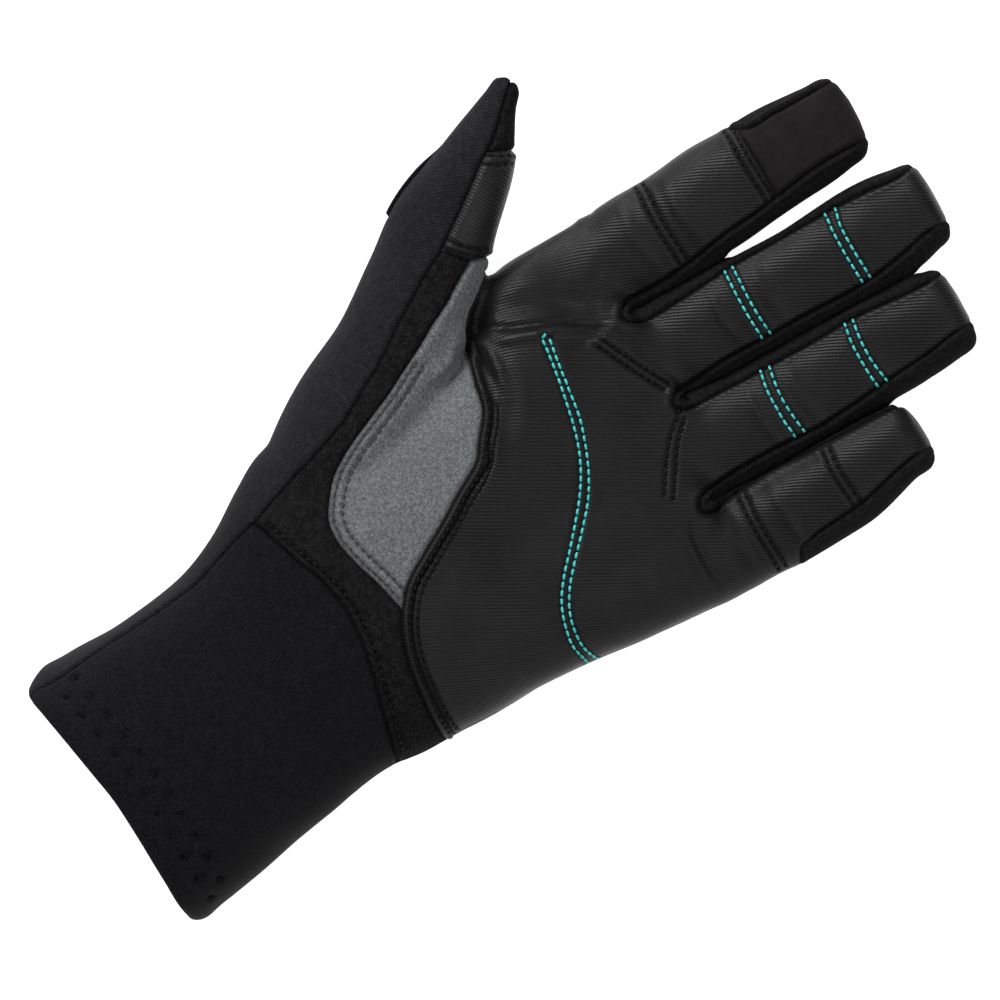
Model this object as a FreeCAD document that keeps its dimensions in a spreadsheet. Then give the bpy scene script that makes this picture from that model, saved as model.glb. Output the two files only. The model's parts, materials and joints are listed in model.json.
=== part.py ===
import FreeCAD, Part
import math
import os
import Sketcher
from FreeCAD import Placement, Rotation, Vector

# A left-hand sailing glove lying on its back: +Y towards the fingertips, thumb at -X, palm up at +Z.
# The origin is the middle of the flat rest on the back of the hand. Millimetres and degrees.
# Every sewn panel is its own thin solid. Panels on one body stand a seam's width apart, and
# panels on neighbouring bodies leave a notch that the joint closes when it bends.

doc = FreeCAD.newDocument("sailing_glove")
dims = doc.addObject("Spreadsheet::Sheet", "dims")

X_AXIS = Vector(1, 0, 0)
Y_AXIS = Vector(0, 1, 0)
Z_AXIS = Vector(0, 0, 1)

# ---------------------------------------------------------------- driving dimensions

SIZES = {
    "fabric": 1.8,            # thickness of the laminated stretch fabric
    "seam_gap": 0.2,          # half the space between two panels of one body
    "seam_ratio": 0.74,       # where the finger seams lie, as a share of half the width and depth
    "side_gap": 2.8,          # from a finger joint to the end of a side strip
    "back_gap": 2.3,          # from a finger joint to the end of a back panel
    "cap_length": 5.0,        # rounded end of a finger
    "cap_ratio": 0.62,        # how far that end narrows
    "binding_width": 2.8,
    "binding_proud": 1.3,
    "thread_proud": 0.8,
    "patch_thickness": 1.0,
    "patch_lift": 1.5,        # outer face of a thumb patch above the panel that it is sewn to
    "patch_share": 0.85,      # how much of that panel's width it covers
    "split_height": 13.0,     # the back panel turns up the sides of the hand to this height
    "cuff_split_height": 20.0,
    "block_top": 60.0,
    "hem_start": -131.0,
    "hem_thickness": 1.2,
    "hem_gap": 0.5,
    "hollow_reach": 3.0,      # how far a hollow passes beyond the ends of its skin
    "wrist_step": 0.4,        # from the wrist band's ends to the hand and to the cuff
}

CLEARANCE = 0.6               # left between two panels where a joint closes the notch

# A digit is a chain of segments from its base point (x, y, z). A heading turns a segment
# towards the thumb side, a pitch raises it, and the widths and depths are at its joints and tip.
# flex is how far each joint bends, and its hinge lies offset to the palm side of the digit's middle.
DIGITS = {
    "index": {"base": (-48.0, 42.0, 16.0), "length": (17.5, 28.3, 30.4), "heading": (1.6, 1.8, 1.2),
              "pitch": (8, 9, 13), "width": (27.6, 28.4, 28.2, 24.0), "depth": (21, 20.5, 19.5, 16),
              "flex": (65, 75, 45), "offset": (4.5, 4.5, 4.5), "roll": 0},
    "middle": {"base": (-20.2, 43.0, 16.0), "length": (25.8, 30.4, 27.8), "heading": (0, 0, 0),
               "pitch": (7, 9, 13), "width": (26.4, 26.6, 26.6, 23.0), "depth": (21, 20.5, 19.5, 16),
               "flex": (65, 75, 45), "offset": (4.5, 4.5, 4.5), "roll": 0},
    "ring": {"base": (7.2, 43.0, 16.0), "length": (20.6, 25.8, 28.7), "heading": (0, 0, 0),
             "pitch": (7, 9, 13), "width": (26.2, 26.2, 26.0, 22.5), "depth": (21, 20.5, 19.5, 16),
             "flex": (65, 75, 45), "offset": (4.5, 4.5, 4.5), "roll": 0},
    "little": {"base": (33.8, 30.0, 16.0), "length": (12.2, 25.7, 24.6), "heading": (0, 0.5, 3),
               "pitch": (8, 10, 14), "width": (25.2, 25.0, 24.0, 19.0), "depth": (20, 19, 18, 15),
               "flex": (60, 75, 45), "offset": (4.5, 4.5, 4.5), "roll": 0},
    "thumb": {"base": (-71.7, 0.6, 21.0), "length": (21.5, 30.5), "heading": (37.9, 33.2),
              "pitch": (6, 7), "width": (27.0, 24.5, 18.0), "depth": (28.0, 24.6, 14.0),
              "flex": (20, 40), "offset": (10.0, 4.5), "roll": 75, "swing": 45},
}
SEGMENTS = {3: ("lower", "middle", "tip"), 2: ("lower", "tip")}

# The thumb's patches: where each one starts and ends along the lower segment and the tip segment.
PATCHES = {"grip_patch": ((8, 16), (5, 14)), "wipe_patch": ((8, 19), (2.5, 12))}

# Slot-shaped sections across the hand: distance along Y, left, right, bottom and top.
# The middle ones dip a little below zero, and the back panel is trimmed flat there for its rest.
HAND = [(-66, -49.5, 39.5, 0, 41), (-40, -50, 40.2, -0.3, 40), (0, -54, 43, -0.3, 34),
        (15, -61, 44.8, 0, 31), (42, -61.6, 46.5, 5, 27)]
CUFF = [(-82, -39.5, 38.7, 0, 41), (-105, -31.5, 43, 0, 45), (-150, -30, 48.6, 0, 50)]
# The mound of the thumb, along its own line from the heel of the hand to the thumb's base joint.
THUMB_ROOT = {"start": (-35.4, -52.0, 20.0), "heading": 34.6, "length": 61.5,
              "width": (39.0, 29.0), "depth": (37.0, 27.0)}
CUFF_END_ANGLE = 5.8          # the mouth of the cuff is cut on a slant
CUFF_END_POINT = (-26.0, -146.8)
# Blocks that trim the cuff: how far they reach along X, Y and Z, larger than the cuff each way.
MOUTH_BLOCK = (200, 40, 120)
HEM_BLOCK = (200, 60, 120)
BLOCK_LEFT, BLOCK_BOTTOM = -100, -30
MOUTH_SIDE = 60               # the mouth block starts this far to the left of the end point

# Outlines in plan: x, y, and the radius of the arc to the next point (0 for a straight edge,
# negative for an arc that bends to the right).
FINGER_LINE_PALM = [(-90, -66, 0), (60, -66, 0), (60, 22.5, 0), (20.75, 22.5, 0), (20.75, 37, 0),
                    (-34, 37, 0), (-34, 36, 0), (-90, 36, 0)]
FINGER_LINE_BACK = [(-90, -66, 0), (60, -66, 0), (60, 28, 0), (20.75, 28, 0), (20.75, 41, 0),
                    (-34, 41, 0), (-34, 40, 0), (-90, 40, 0)]
PALM = [(-49.6, 0, 0), (-38.2, -4.2, -28), (-19, -15.2, 0), (-0.9, -45.8, 42), (19, -56.8, 0),
        (70, -58, 0), (70, 60, 0), (-90, 60, 0), (-90, 30, 0), (-61.5, 11.5, 0)]
GUSSET = [(-74, 25, 0), (-56.5, -6.5, 0), (-43.9, -31.5, 40), (-24, -55.7, 26), (0, -51, 0),
          (12, -48, 0), (-10, -10, 0), (-30, 25, 0)]
BACK_EDGE = [(-84, 22, 0), (-57.3, -20, 90), (-40.1, -58.3, 0), (-36.5, -68, 0), (-105, -68, 0),
             (-105, 22, 0)]
BINDING_REACH = [(-55, -66, 0), (60, -66, 0), (60, 20, 0), (-55, 20, 0)]
CUFF_FRONT = [(-34, -81, 0), (-29.3, -93.6, 90), (-26, -135, 0), (-25, -155, 0), (70, -155, 0),
              (70, -81, 0)]
PALM_THREAD = [(-39, 19.2, 0), (-16.2, 15.6, -45), (9.6, 1.5, 0), (20.5, -8.6, 0), (32.6, -13.8, 0),
               (38, -13.8, 0), (38, -16.6, 0), (30.3, -16.2, 0), (18.2, -9.8, 0), (7.3, 0.1, 45),
               (-16.8, 12.9, 0), (-39, 16.6, 0)]


def deg_tan(angle):
    return math.tan(math.radians(angle))


def palm_gap(depth, offset, bend):
    """How far a palm-side panel stops short of a joint that bends by this angle in all."""
    return (depth / 2 - offset) * deg_tan(bend / 2) + CLEARANCE


def fill_sheet():
    """Write every driving dimension to the sheet, each in a cell with an alias."""
    for digit, data in DIGITS.items():
        count = len(data["length"])
        for i in range(count):
            SIZES[f"{digit}_length_{i}"] = data["length"][i]
            rest = data["pitch"][i] - (data["pitch"][i - 1] if i else 0)
            gap = palm_gap(data["depth"][i], data["offset"][i], data["flex"][i] + rest)
            SIZES[f"{digit}_palm_gap_{i}"] = round(gap, 2)
        for i in range(count + 1):
            SIZES[f"{digit}_width_{i}"] = data["width"][i]
            SIZES[f"{digit}_depth_{i}"] = data["depth"][i]
    for name, sections in (("hand", HAND), ("cuff", CUFF)):
        for i, (along, left, right, bottom, top) in enumerate(sections):
            SIZES[f"{name}_along_{i}"] = along
            SIZES[f"{name}_middle_{i}"] = (left + right) / 2
            SIZES[f"{name}_level_{i}"] = (bottom + top) / 2
            SIZES[f"{name}_width_{i}"] = right - left
            SIZES[f"{name}_depth_{i}"] = top - bottom
    for name, spans in PATCHES.items():
        for i, (start, end) in enumerate(spans):
            SIZES[f"{name}_start_{i}"] = start
            SIZES[f"{name}_end_{i}"] = end
    SIZES["root_length"] = THUMB_ROOT["length"]
    for i in range(2):
        SIZES[f"root_width_{i}"] = THUMB_ROOT["width"][i]
        SIZES[f"root_depth_{i}"] = THUMB_ROOT["depth"][i]
    for row, (name, value) in enumerate(SIZES.items(), start=1):
        dims.set(f"A{row}", name)
        dims.set(f"B{row}", str(value))
        dims.setAlias(f"B{row}", name)
    doc.recompute()


def evaluate(expression):
    return float(dims.evalExpression(expression))


# ---------------------------------------------------------------- sketches

def new_body(name, placement=None):
    body = doc.addObject("PartDesign::Body", name)
    if placement is not None:
        body.Placement = placement
    return body


def section_sketch(body, name, along):
    """A sketch across the body's Y axis, at the distance that the expression gives."""
    plane = [f for f in body.Origin.OriginFeatures if f.Role == "XZ_Plane"][0]
    sketch = body.newObject("Sketcher::SketchObject", name)
    sketch.AttachmentSupport = [(plane, "")]
    sketch.MapMode = "FlatFace"
    sketch.AttachmentOffset = Placement(Vector(0, 0, -evaluate(along)), Rotation())
    sketch.setExpression("AttachmentOffset.Base.z", f"-({along})")
    return sketch


def bind(sketch, kind, elements, expression):
    """Add a dimension whose value is an expression of the sheet's cells."""
    index = sketch.addConstraint(Sketcher.Constraint(kind, *elements, evaluate(expression)))
    sketch.setExpression(f"Constraints[{index}]", expression)


def strip_sketch(sketch, facing, reach, chord, lift="0", thickness="dims.fabric", share="1"):
    """One panel's section: an arc of fabric that faces one way from the middle of a digit.

    Its crown stands at reach from the middle, and it meets the next panels where it is chord
    wide each side. A patch is the same arc, lifted off the panel and over a share of its width.
    """
    angle = {"right": 0, "palm": 90, "left": 180, "back": 270}[facing]
    upright = facing in ("palm", "back")
    sign = "" if facing in ("right", "palm") else "-"
    sagitta = f"(1 - dims.seam_ratio) * ({reach})"
    radius = f"((({chord}) ^ 2 + ({sagitta}) ^ 2) / (2 * ({sagitta})))"
    outer = f"({radius} + {lift})"
    inner = f"({outer} - {thickness})"
    centre = f"{sign}(({reach}) - {radius})"
    half = f"((({chord}) - dims.seam_gap) * {share})"
    middle = evaluate(centre)
    place = Vector(0, middle, 0) if upright else Vector(middle, 0, 0)
    spread = math.asin(evaluate(half) / evaluate(outer))
    first, last = math.radians(angle) - spread, math.radians(angle) + spread
    arcs = [Part.ArcOfCircle(Part.Circle(place, Z_AXIS, evaluate(r)), first, last)
            for r in (outer, inner)]
    lines = [Part.LineSegment(getattr(arcs[0], end), getattr(arcs[1], end))
             for end in ("StartPoint", "EndPoint")]
    sketch.addGeometry(arcs + lines, False)
    for line, end in ((2, 1), (3, 2)):
        sketch.addConstraint(Sketcher.Constraint("Coincident", 0, end, line, 1))
        sketch.addConstraint(Sketcher.Constraint("Coincident", 1, end, line, 2))
    sketch.addConstraint(Sketcher.Constraint("Coincident", 0, 3, 1, 3))
    sketch.addConstraint(Sketcher.Constraint("PointOnObject", 0, 3, -2 if upright else -1))
    bind(sketch, "DistanceY" if upright else "DistanceX", (-1, 1, 0, 3), centre)
    bind(sketch, "Radius", (0,), outer)
    bind(sketch, "Radius", (1,), inner)
    across = "DistanceX" if upright else "DistanceY"
    for arc, nearness in ((0, "1"), (1, f"{inner} / {outer}")):
        for end, point in ((1, arcs[arc].StartPoint), (2, arcs[arc].EndPoint)):
            side = "" if (point.x if upright else point.y) > 0 else "-"
            bind(sketch, across, (-1, 1, arc, end), f"{side}{half} * {nearness}")


def slot_sketch(sketch, middle, level, width, depth):
    """A slot-shaped section: two half circles of the depth, joined by two straight edges."""
    radius = f"(({depth}) / 2)"
    ends = [f"({middle}) {sign} (({width}) - ({depth})) / 2" for sign in ("+", "-")]
    right, left = [Vector(evaluate(e), evaluate(level), 0) for e in ends]
    quarter = math.pi / 2
    arcs = [Part.ArcOfCircle(Part.Circle(right, Z_AXIS, evaluate(radius)), -quarter, quarter),
            Part.ArcOfCircle(Part.Circle(left, Z_AXIS, evaluate(radius)), quarter, 3 * quarter)]
    lines = [Part.LineSegment(arcs[0].EndPoint, arcs[1].StartPoint),
             Part.LineSegment(arcs[1].EndPoint, arcs[0].StartPoint)]
    sketch.addGeometry([arcs[0], lines[0], arcs[1], lines[1]], False)
    for a, b in ((0, 1), (1, 2), (2, 3), (3, 0)):
        sketch.addConstraint(Sketcher.Constraint("Coincident", a, 2, b, 1))
    for arc, end in ((0, ends[0]), (2, ends[1])):
        bind(sketch, "DistanceX", (-1, 1, arc, 3), end)
        bind(sketch, "DistanceY", (-1, 1, arc, 3), level)
        bind(sketch, "Radius", (arc,), radius)
        for point in (1, 2):
            sketch.addConstraint(Sketcher.Constraint("Vertical", arc, point, arc, 3))


def loft(body, sketches):
    feature = body.newObject("PartDesign::AdditiveLoft", body.Name + "_loft")
    feature.Profile = sketches[0]
    feature.Sections = sketches[1:]
    feature.Ruled = True
    body.Tip = feature
    return body


def label(obj, node):
    obj.Label = node
    NODES.append(obj)
    return obj


# ---------------------------------------------------------------- booleans

def cut(name, base, tool):
    result = doc.addObject("Part::Cut", name)
    result.Base = base
    result.Tool = tool
    return result


def common(name, *shapes):
    result = doc.addObject("Part::MultiCommon", name)
    result.Shapes = list(shapes)
    return result


def fuse(name, *shapes):
    result = doc.addObject("Part::MultiFuse", name)
    result.Shapes = list(shapes)
    return result


def compound(name, *shapes):
    result = doc.addObject("Part::Compound", name)
    result.Links = list(shapes)
    return result


def outline_sketch(name, corners):
    """A closed outline in plan, its corners and arcs dimensioned from the sheet."""
    sketch = doc.addObject("Sketcher::SketchObject", name)
    edges = []
    for i, (x, y, radius) in enumerate(corners):
        here, there = Vector(x, y, 0), Vector(*corners[(i + 1) % len(corners)][:2], 0)
        if not radius:
            edges.append(Part.LineSegment(here, there))
            continue
        half = (there - here) / 2
        across = Z_AXIS.cross(half).normalize()
        rise = math.sqrt(radius ** 2 - half.Length ** 2)
        centre = here + half + across * math.copysign(rise, radius)
        start, end = [math.atan2(p.y - centre.y, p.x - centre.x) for p in (here, there)]
        if radius < 0:
            start, end = end, start
        edges.append(Part.ArcOfCircle(Part.Circle(centre, Z_AXIS, abs(radius)), start, end))
    sketch.addGeometry(edges, False)
    for i, (x, y, radius) in enumerate(corners):
        follow = (i + 1) % len(corners)
        first, last = (2, 1) if radius < 0 else (1, 2)
        next_first = 2 if corners[follow][2] < 0 else 1
        sketch.addConstraint(Sketcher.Constraint("Coincident", i, last, follow, next_first))
        bind(sketch, "DistanceX", (-1, 1, i, first), f"dims.{name}_x_{i}")
        bind(sketch, "DistanceY", (-1, 1, i, first), f"dims.{name}_y_{i}")
        if radius:
            bind(sketch, "Radius", (i,), f"dims.{name}_radius_{i}")
    return sketch


def list_outline(name, corners):
    for i, (x, y, radius) in enumerate(corners):
        SIZES[f"{name}_x_{i}"] = x
        SIZES[f"{name}_y_{i}"] = y
        if radius:
            SIZES[f"{name}_radius_{i}"] = abs(radius)


def prism(name, sketch, bottom, top, grow=None):
    """A block that stands on the outline between two heights, its sides moved out by grow."""
    source = sketch
    if grow is not None:
        source = doc.addObject("Part::Offset2D", name + "_edge")
        source.Source = sketch
        source.Mode = "Pipe"
        source.Join = "Intersection"
        source.Value = evaluate(grow)
        source.setExpression("Value", grow)
    block = doc.addObject("Part::Extrusion", name)
    block.Base = source
    block.DirMode = "Custom"
    block.Dir = Z_AXIS
    block.Solid = True
    block.setExpression("LengthFwd", f"({top})")
    block.setExpression("LengthRev", f"-({bottom})")
    return block


# ---------------------------------------------------------------- digits

def segment_frames(digit, roll="roll"):
    """Placement of each segment: +Y along it, +Z on the palm side, origin at its joint."""
    data = DIGITS[digit]
    point = Vector(*data["base"])
    frames = []
    for length, heading, pitch in zip(data["length"], data["heading"], data["pitch"]):
        turn = Rotation(Z_AXIS, heading) * Rotation(X_AXIS, pitch) * Rotation(Y_AXIS, data[roll])
        frames.append(Placement(point, turn))
        point = point + turn.multVec(Y_AXIS * length)
    return frames


def strip(name, frame, facing, digit, i, start, end):
    """One panel of a digit's segment, between two distances along it."""
    body = new_body(name, frame)
    sketches = []
    for station, along in ((i, start), (i + 1, end)):
        sketch = section_sketch(body, f"{name}_section_{station - i}", along)
        half_width = f"dims.{digit}_width_{station} / 2"
        half_depth = f"dims.{digit}_depth_{station} / 2"
        if facing in ("palm", "back"):
            strip_sketch(sketch, facing, half_depth, f"{half_width} * dims.seam_ratio")
        else:
            strip_sketch(sketch, facing, half_width, f"{half_depth} * dims.seam_ratio")
        sketches.append(sketch)
    return loft(body, sketches)


def tip_cap(digit, frame, last):
    """The rounded end of a digit, where the side strip passes over the tip."""
    body = new_body(f"{digit}_cap", frame)
    shoulder = f"dims.{digit}_length_{last} - dims.cap_length"
    width, depth = f"dims.{digit}_width_{last + 1}", f"dims.{digit}_depth_{last + 1}"
    sketches = []
    for i, (along, share) in enumerate(((f"{shoulder} + dims.seam_gap", "1"),
                                        (f"{shoulder} + dims.cap_length / 2", "0.9"),
                                        (f"dims.{digit}_length_{last}", "dims.cap_ratio"))):
        sketch = section_sketch(body, f"{digit}_cap_section_{i}", along)
        slot_sketch(sketch, "0", "0", f"{width} * {share}", f"{depth} * {share}")
        sketches.append(sketch)
    return loft(body, sketches)


def make_digit(digit):
    frames = segment_frames(digit)
    last = len(frames) - 1
    for i, (frame, segment) in enumerate(zip(frames, SEGMENTS[len(frames)])):
        stem = f"{digit}_{segment}"
        length = f"dims.{digit}_length_{i}"
        gaps = {"palm": [f"dims.{digit}_palm_gap_{i}", f"dims.{digit}_palm_gap_{min(i + 1, last)}"],
                "side": ["dims.side_gap"] * 2, "back": ["dims.back_gap"] * 2}
        if i == last:
            gaps = {panel: [start, "dims.cap_length"] for panel, (start, _) in gaps.items()}
        palm_name = "index_touch_tip" if stem == "index_tip" else f"{stem}_palm_panel"
        for facing, node in (("palm", palm_name), ("back", f"{stem}_back_panel")):
            start, end = gaps[facing]
            label(strip(f"{stem}_{facing}", frame, facing, digit, i, start, f"{length} - {end}"), node)
        start, end = gaps["side"]
        sides = [strip(f"{stem}_{facing}", frame, facing, digit, i, start, f"{length} - {end}")
                 for facing in ("left", "right")]
        if i == last:
            sides.append(tip_cap(digit, frame, last))
        label(compound(f"{stem}_sides", *sides), f"{stem}_side_strips")


def print_hinges(digit):
    """Print a point and the direction of each hinge. The thumb's base joint swings it up over the palm."""
    frames = segment_frames(digit)
    if digit == "thumb":
        frames[0] = segment_frames(digit, "swing")[0]
    for frame, segment, offset in zip(frames, SEGMENTS[len(frames)], DIGITS[digit]["offset"]):
        point = frame.multVec(Z_AXIS * offset)
        axis = frame.Rotation.multVec(X_AXIS) if digit == "thumb" else X_AXIS
        print("hinge", digit, segment, *[round(c, 4) for c in (*point, *axis)])


# ---------------------------------------------------------------- hand and cuff

def form(name, key, count, grow, reach="0"):
    """The solid shape of the hand or the cuff through its sections.

    Its skin is moved out by grow, and its two ends are moved out by reach.
    """
    body = new_body(name)
    sketches = []
    signs = {0: "-", count - 1: "+"} if key == "hand" else {0: "+", count - 1: "-"}
    for i in range(count):
        along = f"dims.{key}_along_{i}"
        if i in signs:
            along += f" {signs[i]} {reach}"
        sketch = section_sketch(body, f"{name}_section_{i}", along)
        slot_sketch(sketch, f"dims.{key}_middle_{i}", f"dims.{key}_level_{i}",
                    f"dims.{key}_width_{i} + 2 * ({grow})", f"dims.{key}_depth_{i} + 2 * ({grow})")
        sketches.append(sketch)
    return loft(body, sketches)


def root_form(name, grow, reach="0"):
    """The mound of the thumb, as form() makes the hand."""
    turn = Rotation(Z_AXIS, THUMB_ROOT["heading"])
    body = new_body(name, Placement(Vector(*THUMB_ROOT["start"]), turn))
    sketches = []
    for i, along in enumerate(("0", f"dims.root_length + {reach}")):
        sketch = section_sketch(body, f"{name}_section_{i}", along)
        slot_sketch(sketch, "0", "0", f"dims.root_width_{i} + 2 * ({grow})",
                    f"dims.root_depth_{i} + 2 * ({grow})")
        sketches.append(sketch)
    return loft(body, sketches)


def hand_form(name, grow, reach="0"):
    return fuse(name, form(name + "_palm", "hand", len(HAND), grow, reach),
                root_form(name + "_root", grow, reach))


def make_hand():
    sketches = {name: outline_sketch(name, corners) for name, corners in OUTLINES.items()}
    top, split = "dims.block_top", "dims.split_height"
    shell = cut("hand_shell", hand_form("hand_skin", "0"),
                hand_form("hand_hollow", "-dims.fabric", "dims.hollow_reach"))
    above = prism("above", sketches["finger_line_palm"], f"{split} + dims.seam_gap", top)
    below = prism("below", sketches["finger_line_back"], "0", split)
    top_shell = common("top_shell", shell, above)
    palm_wide = prism("palm_wide", sketches["palm"], "0", top, "2 * dims.seam_gap")
    gusset_wide = prism("gusset_wide", sketches["gusset"], "0", top, "2 * dims.seam_gap")
    back_wide = prism("back_wide", sketches["back_edge"], "0", top, "2 * dims.seam_gap")
    palm_block = prism("palm_block", sketches["palm"], "0", top)
    label(common("palm", top_shell, palm_block), "palm_panel")
    gusset_block = prism("gusset_block", sketches["gusset"], "0", top)
    label(cut("gusset_piece", common("gusset_full", top_shell, gusset_block), palm_wide), "thumb_gusset")
    others = fuse("heel_neighbours", palm_wide, gusset_wide, back_wide)
    label(cut("heel", top_shell, others), "heel_strip")
    side_block = prism("side_block", sketches["back_edge"], "0", top)
    label(common("back", shell, fuse("back_region", below, side_block)), "back_panel")

    rim = cut("rim_shell", hand_form("rim_skin", "dims.binding_proud"),
              hand_form("rim_hollow", "dims.seam_gap / 2", "dims.hollow_reach"))
    inner_palm = prism("palm_inner", sketches["palm"], "0", top, "-dims.binding_width")
    edge = cut("binding_band", palm_block, inner_palm)
    reach = prism("binding_reach", sketches["binding_reach"], "0", top)
    label(common("binding", rim, edge, above, reach), "palm_binding")
    thread = cut("thread_shell", hand_form("thread_skin", "dims.thread_proud"),
                 hand_form("thread_hollow", "dims.seam_gap / 2", "dims.hollow_reach"))
    band = prism("thread_band", sketches["palm_thread"], split, top)
    label(common("palm_rows", thread, band), "palm_stitching")


def trimming_block(name, sides, placement):
    block = doc.addObject("Part::Box", name)
    block.Length, block.Width, block.Height = sides
    block.Placement = placement
    return block


def make_cuff():
    turn = Rotation(Z_AXIS, CUFF_END_ANGLE)
    corner = Vector(*CUFF_END_POINT, BLOCK_BOTTOM) - turn.multVec(Vector(MOUTH_SIDE, MOUTH_BLOCK[1], 0))
    mouth = trimming_block("cuff_mouth", MOUTH_BLOCK, Placement(corner, turn))
    shell = cut("cuff_shell", form("cuff_skin", "cuff", len(CUFF), "0"),
                form("cuff_hollow", "cuff", len(CUFF), "-dims.fabric", "dims.hollow_reach"))
    trimmed = cut("cuff_trimmed", shell, mouth)
    sketch = outline_sketch("cuff_front", CUFF_FRONT)
    split, top = "dims.cuff_split_height", "dims.block_top"
    front = prism("cuff_front_block", sketch, f"{split} + dims.seam_gap", top)
    front_wide = prism("cuff_front_wide", sketch, f"{split} - dims.seam_gap", top, "2 * dims.seam_gap")
    label(common("cuff_palm", trimmed, front), "cuff_palm_panel")
    label(cut("cuff_rear", trimmed, front_wide), "cuff_back_panel")
    face = "-dims.fabric - dims.hem_gap"
    ring = cut("hem_ring", form("hem_skin", "cuff", len(CUFF), face),
               form("hem_hollow", "cuff", len(CUFF), f"{face} - dims.hem_thickness",
                    "dims.hollow_reach"))
    corner = Vector(BLOCK_LEFT, SIZES["hem_start"] - HEM_BLOCK[1], BLOCK_BOTTOM)
    block = trimming_block("hem_block", HEM_BLOCK, Placement(corner, Rotation()))
    label(common("hem", cut("hem_trimmed", ring, mouth), block), "cuff_hem")


def make_wrist_band():
    """The stretch of the wrist that folds: it fills the space between the hand and the cuff."""
    rings = []
    for name, grow, sign, reach in (("wrist_skin", "0", "-", "dims.wrist_step"),
                                    ("wrist_hollow", "-dims.fabric", "+", "dims.hollow_reach / 3")):
        body = new_body(name)
        sketches = []
        for key in ("hand", "cuff"):
            sketch = section_sketch(body, f"{name}_{key}", f"dims.{key}_along_0 {sign} {reach}")
            sign = "+" if sign == "-" else "-"
            slot_sketch(sketch, f"dims.{key}_middle_0", f"dims.{key}_level_0",
                        f"dims.{key}_width_0 + 2 * ({grow})", f"dims.{key}_depth_0 + 2 * ({grow})")
            sketches.append(sketch)
        rings.append(loft(body, sketches))
    label(cut("wrist_ring", *rings), "wrist_band")


def patch(name, node, facing):
    """A patch over the thumb's tip joint, on the palm side or the back: a stretch each side of it."""
    pieces = []
    for i, frame in enumerate(segment_frames("thumb")):
        body = new_body(f"{name}_{i}", frame)
        sketches = []
        for end in ("start", "end"):
            along = f"dims.{name}_{end}_{i}"
            part_way = f"({along} / dims.thumb_length_{i})"
            depth, width = [f"(dims.thumb_{size}_{i} * (1 - {part_way})"
                            f" + dims.thumb_{size}_{i + 1} * {part_way}) / 2" for size in ("depth", "width")]
            sketch = section_sketch(body, f"{name}_{i}_{end}", along)
            strip_sketch(sketch, facing, depth, f"{width} * dims.seam_ratio",
                         "dims.patch_lift", "dims.patch_thickness", "dims.patch_share")
            sketches.append(sketch)
        pieces.append(loft(body, sketches))
    label(compound(name, *pieces), node)


def export():
    """Check every object, then write one STEP file for each node."""
    doc.recompute()
    for obj in doc.Objects:
        bad = [state for state in obj.State if state in ("Invalid", "Error")]
        if bad:
            raise RuntimeError(f"{obj.Name}: {bad}")
    os.makedirs("parts", exist_ok=True)
    for obj in NODES:
        shape = obj.Shape
        if shape.isNull() or not shape.isValid() or not shape.Solids:
            raise RuntimeError(f"{obj.Label}: bad shape")
        shape.exportStep(f"parts/{obj.Label}.step")
        box = shape.BoundBox
        print(f"{obj.Label:28s} solids {len(shape.Solids)} volume {shape.Volume:9.1f}"
              f"  x {box.XMin:7.1f} {box.XMax:6.1f}  y {box.YMin:7.1f} {box.YMax:6.1f}"
              f"  z {box.ZMin:6.1f} {box.ZMax:6.1f}")


NODES = []
OUTLINES = {"finger_line_palm": FINGER_LINE_PALM, "finger_line_back": FINGER_LINE_BACK, "palm": PALM,
            "gusset": GUSSET, "back_edge": BACK_EDGE, "palm_thread": PALM_THREAD,
            "binding_reach": BINDING_REACH}
for outline, corners in list(OUTLINES.items()) + [("cuff_front", CUFF_FRONT)]:
    list_outline(outline, corners)
fill_sheet()
for digit in DIGITS:
    make_digit(digit)
    print_hinges(digit)
patch("grip_patch", "thumb_grip_patch", "palm")
patch("wipe_patch", "thumb_wipe_patch", "back")
make_hand()
make_cuff()
make_wrist_band()
export()
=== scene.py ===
import json
import math

import bpy
import numpy as np
from mathutils import Matrix, Vector, bvhtree, kdtree


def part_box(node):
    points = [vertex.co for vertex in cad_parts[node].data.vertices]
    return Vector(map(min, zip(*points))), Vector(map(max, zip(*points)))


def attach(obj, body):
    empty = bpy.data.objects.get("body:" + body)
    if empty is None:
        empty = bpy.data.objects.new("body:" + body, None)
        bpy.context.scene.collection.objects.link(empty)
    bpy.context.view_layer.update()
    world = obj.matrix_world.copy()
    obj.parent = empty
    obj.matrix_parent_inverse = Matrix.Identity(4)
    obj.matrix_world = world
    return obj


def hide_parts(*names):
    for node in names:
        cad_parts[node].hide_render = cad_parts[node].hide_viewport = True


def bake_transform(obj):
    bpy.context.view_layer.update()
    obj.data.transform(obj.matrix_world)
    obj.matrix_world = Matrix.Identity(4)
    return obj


# A left-hand sailing glove lying palm up: +Y to the fingertips, thumb at -X. Lengths are in
# millimetres until a mesh is written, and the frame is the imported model's.

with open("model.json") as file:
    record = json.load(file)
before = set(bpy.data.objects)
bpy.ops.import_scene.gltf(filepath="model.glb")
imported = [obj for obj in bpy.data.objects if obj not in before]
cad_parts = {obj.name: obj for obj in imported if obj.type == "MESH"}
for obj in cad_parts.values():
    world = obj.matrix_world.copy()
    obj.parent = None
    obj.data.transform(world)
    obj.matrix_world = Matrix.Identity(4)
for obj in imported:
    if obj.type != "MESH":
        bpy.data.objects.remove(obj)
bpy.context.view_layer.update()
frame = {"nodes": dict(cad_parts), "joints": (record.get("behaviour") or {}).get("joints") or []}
MM = 0.001
VOXEL = 1.0
FINGER_NAMES = ("index", "middle", "ring", "little")


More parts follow.
